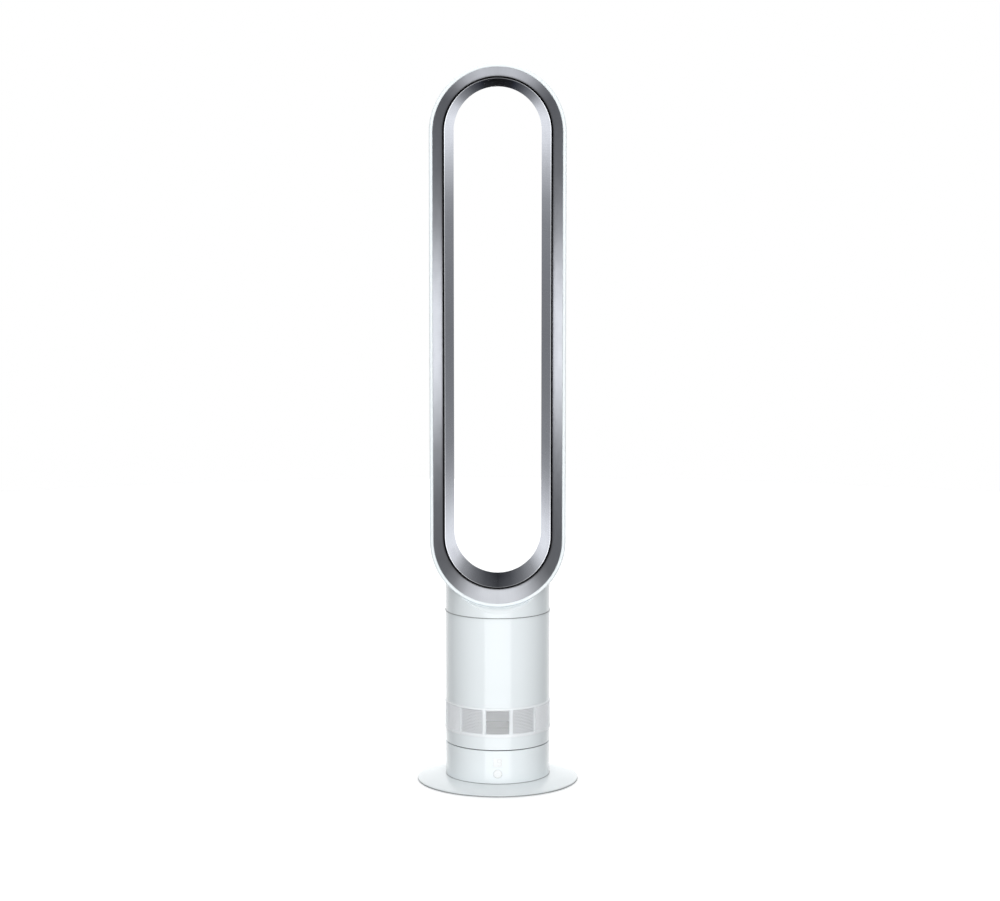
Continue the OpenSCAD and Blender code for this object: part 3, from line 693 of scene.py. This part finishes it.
# %% Turn the button and engrave its sign
BUTTON_FACE = -housing_r + 0.15 * MM
button = turned("button_cap", [
    (0.5 * MM, 0), (button_r - 0.6 * MM, 0),
    (button_r - 0.15 * MM, 0.15 * MM), (button_r, 0.6 * MM),
    (button_r, 3.2 * MM), (button_r + 1.6 * MM, 3.2 * MM), (button_r + 1.6 * MM, 4.1 * MM),
    (0.5 * MM, 4.1 * MM),
], 96, capped=True)
button.data.transform(
    Matrix.Translation((0, BUTTON_FACE, button_z)) @ Matrix.Rotation(-math.pi / 2, 4, "X")
)
sign = turned("sign", [
    (2.6 * MM, -1 * MM), (2.6 * MM, 0.35 * MM), (2.05 * MM, 0.35 * MM),
    (2.05 * MM, -1 * MM), (2.6 * MM, -1 * MM),
], 64)
sign.data.transform(
    Matrix.Translation((0, BUTTON_FACE, button_z)) @ Matrix.Rotation(-math.pi / 2, 4, "X")
)
tidy(sign)
carve(sign, block(
    "gap", (-0.9 * MM, -0.1, button_z + 0.5 * MM), (0.9 * MM, -0.05, button_z + 4 * MM)
))
stroke = block("stroke", (-0.28 * MM, BUTTON_FACE - 1 * MM, button_z + 0.4 * MM),
               (0.28 * MM, BUTTON_FACE + 0.35 * MM, button_z + 3.2 * MM))
carve(button, join([sign, stroke], "sign"))
tidy(button, merge=1e-7)
smooth(button, 35)
print(f"button {2000 * button_r:.0f} mm across")

# %% [markdown]
# The window is a thin tile of milky plastic, flush with the drum. A ring as thick as the tile is
# turned and all but the window's own piece is cut away, so the tile has the drum's exact curve.

# %% Bend the window tile and set it in
tile = turned("tile", [
    (housing_r, window_low.z), (housing_r, window_high.z), (housing_r - 1.5 * MM, window_high.z),
    (housing_r - 1.5 * MM, window_low.z), (housing_r, window_low.z),
], 720)
carve(tile, block(
    "tile_outline", (window_low.x, -0.08, window_low.z - 0.001),
    (window_high.x, -0.06, window_high.z + 0.001),
), "INTERSECT")
tile.name = "window_tile"
tidy(tile)
round_edges(tile, 0.06 * MM, angle=60, segments=2)
smooth(tile, 30)
print(f"window {1000 * (window_high.x - window_low.x):.0f} mm wide")

# %% [markdown]
# Behind the window a seven-segment digit shows through the white plastic as a faint grey. We
# lay its bars on the tile as thin flush inlays, each a stretched hexagon like a real segment.

# %% Lay in the seven-segment digit
def segment(name, x, z, length, width, upright):
    free_hands()
    bpy.ops.mesh.primitive_circle_add(vertices=6, radius=width / 2, fill_type="NGON")
    bar = begin(name)
    half, thin = length / 2, width / 2
    corners = [(half, 0), (half - thin, thin), (-half + thin, thin), (-half, 0),
               (-half + thin, -thin), (half - thin, -thin)]
    for vertex, (a, b) in zip(bar.data.vertices, corners):
        px, pz = (b, a) if upright else (a, b)
        px, pz = x + px, z + pz
        vertex.co = (px, -math.sqrt((housing_r + 0.03 * MM) ** 2 - px * px), pz)
    bpy.ops.object.mode_set(mode="EDIT")
    bpy.ops.mesh.select_all(action="SELECT")
    bpy.ops.mesh.extrude_region_move(TRANSFORM_OT_translate={"value": (0, 0.3 * MM, 0)})
    bpy.ops.object.mode_set(mode="OBJECT")
    tidy(bar)
    return bar


digit_z = (window_low.z + window_high.z) / 2
digit_x = 2.3 * MM
DIGIT_W, DIGIT_H, DIGIT_BAR = 5.2 * MM, 9 * MM, 0.9 * MM
LONG_BAR, SHORT_BAR = DIGIT_W - DIGIT_BAR * 0.4, DIGIT_H / 2 - DIGIT_BAR * 0.4
bars = [
    segment("bar", digit_x, digit_z + dz, LONG_BAR, DIGIT_BAR, False)
    for dz in (-DIGIT_H / 2, 0, DIGIT_H / 2)
]
bars += [
    segment("bar", digit_x + dx, digit_z + dz, SHORT_BAR, DIGIT_BAR, True)
    for dx, dz in (
        (DIGIT_W / 2, -DIGIT_H / 4), (DIGIT_W / 2, DIGIT_H / 4), (-DIGIT_W / 2, DIGIT_H / 4)
    )
]
digit = join(bars, "window_digit")
print(f"digit of {len(bars)} bars")

# %% [markdown]
# The mains cord leaves through a rubber grommet in the back wall. It is a turned spool: a
# flange inside, a groove that grips the wall, and a tapered collar outside.

# %% Turn the grommet
CORD_R = 3.6 * MM
spool = [
    (CORD_R, 0), (7.2 * MM, 0), (7.6 * MM, 0.4 * MM), (7.6 * MM, 1.6 * MM), (6 * MM, 1.6 * MM),
    (6 * MM, 5.6 * MM), (7.4 * MM, 5.6 * MM), (7.3 * MM, 6.6 * MM), (6.6 * MM, 7.8 * MM),
    (6.2 * MM, 8 * MM), (4 * MM, 8 * MM), (CORD_R, 7.6 * MM), (CORD_R, 0),
]
grommet = turned("cord_bush", spool, 96)
grommet.data.transform(
    Matrix.Translation((0, grommet_low.y, grommet_z)) @ Matrix.Rotation(-math.pi / 2, 4, "X")
)
tidy(grommet)
round_edges(grommet, 0.2 * MM, angle=40, segments=2)
smooth(grommet, 40)
print(f"cord hole {2000 * CORD_R:.1f} mm wide")

# %% [markdown]
# ## The floor plate
# A wide dished disc keeps the tall column from tipping. Its top falls gently from the housing
# to a thin rounded edge, and underneath it is hollow, with ribs and a rubber ring to stand on.

# %% Turn the plate
plate_r = plate_high.x
plate_top = plate_high.z
plate_under = plate_low.z
edge_round = 1.3 * MM
slope = curve((plate_r - 3 * MM, plate_under + 2.8 * MM), (plate_r - 18 * MM, plate_top - 0.6 * MM),
              (housing_r + 3 * MM, plate_top), 24)
section = [(30 * MM, plate_under), (30 * MM, 6.4 * MM), (housing_r - 6 * MM, 6.4 * MM),
           (94 * MM, 4.2 * MM),
           (94 * MM, plate_under), (96.8 * MM, plate_under), (96.8 * MM, 1.7 * MM),
           (107.2 * MM, 1.7 * MM),
           (107.2 * MM, plate_under), (plate_r - 1.6 * MM, plate_under)]
section += quarter(
    plate_r - edge_round, plate_under + edge_round, edge_round, edge_round, -80, 80, 8
)
section += slope + [(66 * MM, plate_top), (30 * MM, plate_top), (12 * MM, plate_top),
                    (12 * MM, plate_under), (30 * MM, plate_under)]
plate = turned("plate", section, 360)
tidy(plate, merge=1e-5)
RIBS = 12
ribs = []
for i in range(RIBS):
    rib = block("rib", (29 * MM, -1 * MM, plate_under + 0.02 * MM), (94.5 * MM, 1 * MM, 4.3 * MM))
    rib.data.transform(Matrix.Rotation(math.radians(i * 30 + 15), 4, "Z"))
    ribs.append(rib)
plate = join([plate] + ribs, "plate")
smooth(plate, 30)
print(f"plate {2000 * plate_r:.0f} mm across, {1000 * plate_top:.1f} mm at its middle")

# %% [markdown]
# Two thin grey trims are painted shadow: dark strips that draw the fine shadow lines where the
# housing meets the plate and where the plate meets the floor. A turned ring with its corners
# taken off is all that such a strip needs.

# %% Turn the two grey strips of painted shadow
plate_painted_shadow = turned("plate_painted_shadow", [
    (plate_r - 3 * MM, plate_under + 0.02 * MM), (plate_r - 0.1 * MM, plate_under + 0.02 * MM),
    (plate_r + 0.12 * MM, plate_under + 0.3 * MM), (plate_r + 0.12 * MM, plate_under + 1.15 * MM),
    (plate_r - 0.2 * MM, plate_under + 1.35 * MM), (plate_r - 3 * MM, plate_under + 1.35 * MM),
    (plate_r - 3 * MM, plate_under + 0.02 * MM),
], 360)
tidy(plate_painted_shadow, merge=1e-5)
smooth(plate_painted_shadow, 50)
housing_painted_shadow = turned("housing_painted_shadow", [
    (housing_r - 2.2 * MM, plate_top - 0.4 * MM), (housing_r + 0.25 * MM, plate_top - 0.4 * MM),
    (housing_r + 0.25 * MM, plate_top + 0.7 * MM), (housing_r - 0.1 * MM, plate_top + 0.95 * MM),
    (housing_r - 2.2 * MM, plate_top + 0.95 * MM), (housing_r - 2.2 * MM, plate_top - 0.4 * MM),
], 360)
tidy(housing_painted_shadow, merge=1e-5)
smooth(housing_painted_shadow, 50)
print("two trims turned")

# %% [markdown]
# The rubber ring sits in a channel under the plate. It keeps the fan from sliding and soaks up
# what little hum is left. Its lower corners are eased, as a moulded rubber ring's are.

# %% Turn the rubber foot
foot_low, foot_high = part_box("foot_ring")
foot = turned("rubber_foot", [
    (97.3 * MM, foot_low.z), (106.7 * MM, foot_low.z),
    (107 * MM, 0.3 * MM), (107 * MM, foot_high.z),
    (97 * MM, foot_high.z), (97 * MM, 0.3 * MM), (97.3 * MM, foot_low.z),
], 240)
smooth(foot, 50)
print("foot turned")

# %% [markdown]
# ## Finishes
# Every finish is mixed from nodes. A moulded plastic is never perfectly even: the colour drifts
# a little, the gloss varies where the mould was polished by hand, and a very fine ripple, the
# orange peel, softens reflections. One recipe gives all of them, with its own grain and gloss.

# %% Mix a moulded finish
def new_finish(name):
    material = bpy.data.materials.new(name)
    material.use_nodes = True
    tree = material.node_tree
    shader = tree.nodes["Principled BSDF"]
    return material, tree, shader


def wire(tree, source, target):
    tree.links.new(source, target)


def noise(tree, scale, detail, stretch=(1, 1, 1)):
    """Noise in the piece's own coordinates, as metres, with a grain that can be stretched."""
    place = tree.nodes.new("ShaderNodeTexCoord")
    mapping = tree.nodes.new("ShaderNodeMapping")
    mapping.inputs["Scale"].default_value = stretch
    grain = tree.nodes.new("ShaderNodeTexNoise")
    grain.inputs["Scale"].default_value = scale
    grain.inputs["Detail"].default_value = detail
    wire(tree, place.outputs["Object"], mapping.inputs["Vector"])
    wire(tree, mapping.outputs["Vector"], grain.inputs["Vector"])
    return grain.outputs["Fac"]


def between(tree, factor, low, high):
    """Turns a noise of 0.3 to 0.7 into a number between low and high."""
    reach = tree.nodes.new("ShaderNodeMapRange")
    reach.inputs["From Min"].default_value = 0.3
    reach.inputs["From Max"].default_value = 0.7
    reach.inputs["To Min"].default_value = low
    reach.inputs["To Max"].default_value = high
    wire(tree, factor, reach.inputs["Value"])
    return reach.outputs["Result"]


def drift(tree, factor, colour, amount):
    """A colour that drifts lighter and darker by a small share."""
    blend = tree.nodes.new("ShaderNodeMix")
    blend.data_type = "RGBA"
    blend.inputs["A"].default_value = [c * (1 - amount) for c in colour] + [1]
    blend.inputs["B"].default_value = [min(1, c * (1 + amount)) for c in colour] + [1]
    wire(tree, between(tree, factor, 0, 1), blend.inputs["Factor"])
    return blend.outputs["Result"]


def ripple(tree, shader, factor, height):
    bump = tree.nodes.new("ShaderNodeBump")
    bump.inputs["Distance"].default_value = height
    bump.inputs["Strength"].default_value = 1
    wire(tree, factor, bump.inputs["Height"])
    wire(tree, bump.outputs["Normal"], shader.inputs["Normal"])


def moulded(
    name, colour, gloss, grain, height, tint, metal=0.0, ior=1.46, stretch=(1, 1, 1),
):
    """A moulded or pressed finish. Gloss is its roughness where it is smoothest and dullest."""
    material, tree, shader = new_finish(name)
    shader.inputs["Metallic"].default_value = metal
    shader.inputs["IOR"].default_value = ior
    wire(tree, drift(tree, noise(tree, 18, 3), colour, tint), shader.inputs["Base Color"])
    wire(tree, between(tree, noise(tree, 45, 4), *gloss), shader.inputs["Roughness"])
    ripple(tree, shader, noise(tree, grain, 2, stretch), height)
    return material


white_loop = moulded("gloss_white_loop", (0.84, 0.885, 0.905), (0.05, 0.09), 260, 4e-6, 0.006)
white_body = moulded("gloss_white_body", (0.84, 0.885, 0.905), (0.04, 0.08), 260, 4e-6, 0.006)
white_plate = moulded("satin_white_plate", (0.71, 0.745, 0.76), (0.16, 0.22), 500, 5e-6, 0.008)
white_grille = moulded("satin_white_grille", (0.95, 0.965, 0.985), (0.28, 0.36), 900, 6e-6, 0.01)
white_band = moulded("satin_white_band", (0.87, 0.895, 0.915), (0.22, 0.3), 900, 5e-6, 0.01)
white_button = moulded("gloss_white_button", (0.86, 0.875, 0.88), (0.10, 0.16), 700, 3e-6, 0.006)
white_inner = moulded("plain_white_inner", (0.74, 0.75, 0.75), (0.4, 0.5), 900, 1e-5, 0.02)
white_window = moulded("milk_white_window", (0.86, 0.875, 0.88), (0.05, 0.09), 300, 2e-6, 0.004)
digit_grey = moulded("digit_grey", (0.76, 0.775, 0.78), (0.15, 0.2), 700, 2e-6, 0.01)
# Seam grey is the gasket's own colour; on the two strips at the plate it is painted shadow.
seam_grey = moulded("seam_grey", (0.30, 0.315, 0.32), (0.45, 0.6), 1500, 8e-6, 0.05)
rubber = moulded("black_rubber", (0.028, 0.028, 0.03), (0.65, 0.8), 1800, 2e-5, 0.12)
acetal = moulded("natural_acetal", (0.76, 0.74, 0.66), (0.3, 0.42), 1100, 6e-6, 0.03)
dark_frame = moulded("dark_glass_nylon", (0.032, 0.034, 0.037), (0.42, 0.6), 1600, 1.5e-5, 0.2)
duct_white = moulded("duct_plastic", (0.16, 0.165, 0.17), (0.34, 0.46), 1000, 8e-6, 0.03)
impeller_dark = moulded("impeller_plastic", (0.05, 0.053, 0.058), (0.25, 0.36), 1200, 6e-6, 0.1)
foam = moulded("open_cell_foam", (0.07, 0.073, 0.078), (0.9, 1.0), 900, 3e-4, 0.35)
board_green = moulded("board_green", (0.012, 0.12, 0.05), (0.25, 0.4), 2500, 6e-6, 0.25)
chip_black = moulded("chip_black", (0.018, 0.018, 0.02), (0.4, 0.55), 2200, 8e-6, 0.15)
copper = moulded(
    "wound_copper", (0.72, 0.32, 0.14), (0.22, 0.34), 1400, 2.5e-5, 0.12, metal=1, stretch=(1, 1, 8)
)
steel = moulded("plated_steel", (0.62, 0.63, 0.65), (0.2, 0.34), 1500, 3e-6, 0.05, metal=1)
motor_can = moulded("zinc_can", (0.50, 0.51, 0.53), (0.3, 0.42), 1300, 4e-6, 0.06, metal=1)
magnet = moulded("sintered_magnet", (0.10, 0.10, 0.105), (0.45, 0.6), 1700, 8e-6, 0.12, metal=0.6)
print(f"{len(bpy.data.materials)} finishes mixed")

# %% [markdown]
# The silver lacquer needs more care. Along the sides and round the ends its sheen swings from
# light to dark and back, and this sheen is painted reflection: a ramp over the sweep's own
# length mark paints that swing into the colour and the reflection's tint on every side alike,
# and a stretched noise over the same mark draws fine cross-brushed lines.

# %% Spray the silver lacquer and paint in its sheen
def mark(tree, name):
    node = tree.nodes.new("ShaderNodeAttribute")
    node.attribute_name = name
    return node.outputs["Fac"]


def lacquer(name, painted_sheen_stops, gloss):
    """A metallic lacquer with its sheen painted in. The list of stops gives (place round the loop
    from 0 to 2, brightness of the painted reflection).
    """
    material, tree, shader = new_finish(name)
    shader.inputs["Metallic"].default_value = 1
    shader.inputs["IOR"].default_value = 1.5
    halve = tree.nodes.new("ShaderNodeMath")
    halve.operation = "MULTIPLY"
    halve.inputs[1].default_value = 0.5
    wire(tree, mark(tree, "along"), halve.inputs[0])
    # The ramp paints the sheen in: the reflection's light and dark, by place round the loop.
    ramp = tree.nodes.new("ShaderNodeValToRGB")
    wire(tree, halve.outputs["Value"], ramp.inputs["Fac"])
    stops = ramp.color_ramp.elements
    while len(stops) < len(painted_sheen_stops):
        stops.new(0.5)
    for stop, (place, tone) in zip(stops, painted_sheen_stops):
        stop.position = place / 2
        stop.color = (tone * 0.97, tone * 0.985, tone * 1.035, 1)
    lines = tree.nodes.new("ShaderNodeTexNoise")
    lines.noise_dimensions = "1D"
    lines.inputs["Scale"].default_value = 900
    lines.inputs["Detail"].default_value = 5
    wire(tree, mark(tree, "run"), lines.inputs["W"])
    shade = tree.nodes.new("ShaderNodeMix")
    shade.data_type = "RGBA"
    shade.blend_type = "MULTIPLY"
    shade.inputs["Factor"].default_value = 1
    grey = tree.nodes.new("ShaderNodeCombineColor")
    tone = between(tree, lines.outputs["Fac"], 0.95, 1.0)
    for channel in ("Red", "Green", "Blue"):
        wire(tree, tone, grey.inputs[channel])
    wire(tree, ramp.outputs["Color"], shade.inputs["A"])
    wire(tree, grey.outputs["Color"], shade.inputs["B"])
    # The painted sheen sets the colour and also tints the reflection.
    wire(tree, shade.outputs["Result"], shader.inputs["Base Color"])
    wire(tree, shade.outputs["Result"], shader.inputs["Specular Tint"])
    wire(tree, between(tree, noise(tree, 60, 4), *gloss), shader.inputs["Roughness"])
    ripple(tree, shader, lines.outputs["Fac"], 4e-6)
    return material


# Brightness of the painted reflection on the wall and on the lip, by place round the loop.
WALL_PAINTED_SHEEN = [
    (0, 0.86), (0.13, 0.88), (0.26, 0.79), (0.4, 0.64), (0.54, 0.47), (0.68, 0.37), (0.82, 0.3),
    (0.97, 0.275), (1.2, 0.255), (1.36, 0.245), (1.5, 0.31), (1.67, 0.5), (1.83, 0.56), (2, 0.525),
]
LIP_PAINTED_SHEEN = [
    (0, 0.315), (0.3, 0.33), (0.55, 0.36), (0.67, 0.41), (0.81, 0.54), (0.95, 0.7), (1.02, 0.74),
    (1.18, 0.75), (1.33, 0.65), (1.5, 0.36), (1.67, 0.225), (1.83, 0.15), (2, 0.11),
]
wall_silver = lacquer("silver_wall_painted_sheen", WALL_PAINTED_SHEEN, (0.3, 0.36))
lip_silver = lacquer("silver_lip_painted_sheen", LIP_PAINTED_SHEEN, (0.22, 0.28))
plain_silver = moulded(
    "silver_spacer", (0.6, 0.61, 0.63), (0.3, 0.4), 1200, 3e-6, 0.03, metal=0.85
)
print("silver sprayed")

# %% [markdown]
# ## Fit the pieces to the machine
# Each new piece stands for one or more parts of the frame, rides on the body that carries them,
# and is given its finish. The inner parts keep their shape from the frame
# and only get their finish here.

# %% Dress and mount the pieces
def mount(piece, body, finish, slot, *nodes):
    piece.data.materials.clear()
    piece.data.materials.append(finish)
    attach(piece, body)
    if nodes:
        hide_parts(*nodes)


mount(shell, "column", white_loop, "white_loop", "outer_shell")
mount(wall, "column", wall_silver, "silver_wall", "diffuser_wall")
mount(lip, "column", lip_silver, "silver_lip", "rear_lip")
mount(neck, "column", white_body, "white_body", "neck")
mount(seal, "column", seam_grey, "seam_grey", "neck_gasket")
mount(column, "column", white_body, "white_body", "body_shell")
mount(band, "column", white_band, "white_grille", "inlet_grille")
mount(screens, "column", white_grille, "white_grille")
mount(housing, "base", white_body, "white_body", "lower_housing")
mount(tile, "base", white_window, "display_white", "display_window")
mount(digit, "base", digit_grey, "display_white")
mount(button, "button", white_button, "white_button", "power_button")
mount(grommet, "base", rubber, "rubber", "cord_grommet")
mount(plate, "base", white_plate, "white_plate", "base_plate")
mount(foot, "base", rubber, "rubber", "foot_ring")
# The two grey strips at the plate are painted shadow lines.
mount(plate_painted_shadow, "base", seam_grey, "seam_grey")
mount(housing_painted_shadow, "base", seam_grey, "seam_grey")

SLOT_FINISH = {
    "white_body": white_body, "white_plate": white_plate, "white_loop": white_loop,
    "white_grille": white_grille, "white_button": white_button, "display_white": white_window,
    "inner_white": white_inner, "silver_wall": plain_silver, "silver_lip": plain_silver,
    "seam_grey": seam_grey, "rubber": rubber, "steel": steel, "motor_can": motor_can,
    "acetal": acetal, "dark_frame": dark_frame, "duct_plastic": duct_white,
    "impeller_plastic": impeller_dark, "foam": foam, "board_green": board_green,
    "chip_black": chip_black, "copper": copper, "magnet": magnet,
}
dressed = 0
for part in frame["record"]["subparts"]:
    node = frame["nodes"][part["node"]]
    if node.hide_render:
        continue
    for place in node.material_slots:
        place.material = SLOT_FINISH[part["material_slot"]]
    dressed += 1
print(f"{dressed} inner parts dressed")

# %% [markdown]
# ## Studio
# A white object on white needs its form drawn by darker sides. The surroundings are one bright
# panel in front, which gives the crisp upright highlight, dim sides, a lighter back and a bright
# ceiling. What the lens itself sees behind the fan is plain white paper.

# %% Paint the surroundings
world = bpy.data.worlds.new("studio")
bpy.context.scene.world = world
world.use_nodes = True
tree = world.node_tree
tree.nodes.clear()


def maths(operation, *values):
    node = tree.nodes.new("ShaderNodeMath")
    node.operation = operation
    for socket, value in zip(node.inputs, values):
        if isinstance(value, (int, float)):
            socket.default_value = value
        else:
            wire(tree, value, socket)
    return node.outputs["Value"]


direction = tree.nodes.new("ShaderNodeTexCoord")
split = tree.nodes.new("ShaderNodeSeparateXYZ")
wire(tree, direction.outputs["Generated"], split.inputs["Vector"])
side = maths("ABSOLUTE", split.outputs["X"])
ahead = maths("MULTIPLY", split.outputs["Y"], -1)
azimuth = maths("DIVIDE", maths("ARCTAN2", side, ahead), math.pi)

BRIGHTEST = 2.5
WALLS = [(0, 0.35), (60, 0.32), (85, 0.25), (118, 0.25), (145, 1.3), (180, 1.5)]
ring = tree.nodes.new("ShaderNodeValToRGB")
wire(tree, azimuth, ring.inputs["Fac"])
while len(ring.color_ramp.elements) < len(WALLS):
    ring.color_ramp.elements.new(0.5)
for stop, (degrees, light) in zip(ring.color_ramp.elements, WALLS):
    stop.position = degrees / 180
    stop.color = [light / BRIGHTEST] * 3 + [1]
walls_light = maths("MULTIPLY", ring.outputs["Color"], BRIGHTEST)

PANEL_LIGHT = 2.4
PANEL_HALF_WIDTH = 29 / 180
PANEL_TOP = math.sin(math.radians(35))


def inside(value, edge, softness):
    """1 where a value is under an edge, 0 where it is over it."""
    step = tree.nodes.new("ShaderNodeMapRange")
    step.interpolation_type = "SMOOTHSTEP"
    step.inputs["From Min"].default_value = edge - softness
    step.inputs["From Max"].default_value = edge + softness
    step.inputs["To Min"].default_value = 1
    step.inputs["To Max"].default_value = 0
    wire(tree, value, step.inputs["Value"])
    return step.outputs["Result"]


panel = maths(
    "MULTIPLY", inside(azimuth, PANEL_HALF_WIDTH, 0.004),
    inside(maths("ABSOLUTE", split.outputs["Z"]), PANEL_TOP, 0.1),
)
walls_light = maths("ADD", walls_light, maths("MULTIPLY", panel, PANEL_LIGHT))

CEILING = 1.9
ceiling = tree.nodes.new("ShaderNodeMapRange")
ceiling.interpolation_type = "SMOOTHSTEP"
ceiling.inputs["From Min"].default_value = math.sin(math.radians(45))
ceiling.inputs["From Max"].default_value = math.sin(math.radians(70))
wire(tree, split.outputs["Z"], ceiling.inputs["Value"])
below_ceiling = maths("SUBTRACT", 1, ceiling.outputs["Result"])
light = maths("ADD", maths("MULTIPLY", walls_light, below_ceiling),
              maths("MULTIPLY", ceiling.outputs["Result"], CEILING))

studio = tree.nodes.new("ShaderNodeBackground")
wire(tree, light, studio.inputs["Strength"])
studio.inputs["Color"].default_value = (0.985, 0.995, 1, 1)
paper = tree.nodes.new("ShaderNodeBackground")
paper.inputs["Color"].default_value = (1, 1, 1, 1)
seen = tree.nodes.new("ShaderNodeLightPath")
either = tree.nodes.new("ShaderNodeMixShader")
wire(tree, seen.outputs["Is Camera Ray"], either.inputs["Fac"])
wire(tree, studio.outputs["Background"], either.inputs[1])
wire(tree, paper.outputs["Background"], either.inputs[2])
output = tree.nodes.new("ShaderNodeOutputWorld")
wire(tree, either.outputs["Shader"], output.inputs["Surface"])
bpy.context.scene.view_settings.view_transform = "Standard"
bpy.context.scene.view_settings.look = "None"
print(f"front panel {360 * PANEL_HALF_WIDTH:.0f} degrees wide, ceiling {CEILING}")

# %% [markdown]
# The floor is a sheet of white paper that runs on out of sight. It catches only the faintest
# shadow, and neither mirrors in the fan nor throws light back at it.

# %% Lay the paper floor
free_hands()
bpy.ops.mesh.primitive_circle_add(vertices=96, radius=3, fill_type="NGON")
paper_floor = begin("paper_floor")
floor_finish, tree, shader = new_finish("white_paper")
shader.inputs["Base Color"].default_value = (0.95, 0.95, 0.95, 1)
shader.inputs["Roughness"].default_value = 0.9
shader.inputs["Specular IOR Level"].default_value = 0
shader.inputs["Emission Color"].default_value = (1, 1, 1, 1)
shader.inputs["Emission Strength"].default_value = 0.12
paper_floor.data.materials.append(floor_finish)
paper_floor.visible_glossy = False
paper_floor.visible_diffuse = False
print("paper laid")

# %% [markdown]
# ## Let go of the pieces

# %% Let go of the pieces
free_hands()
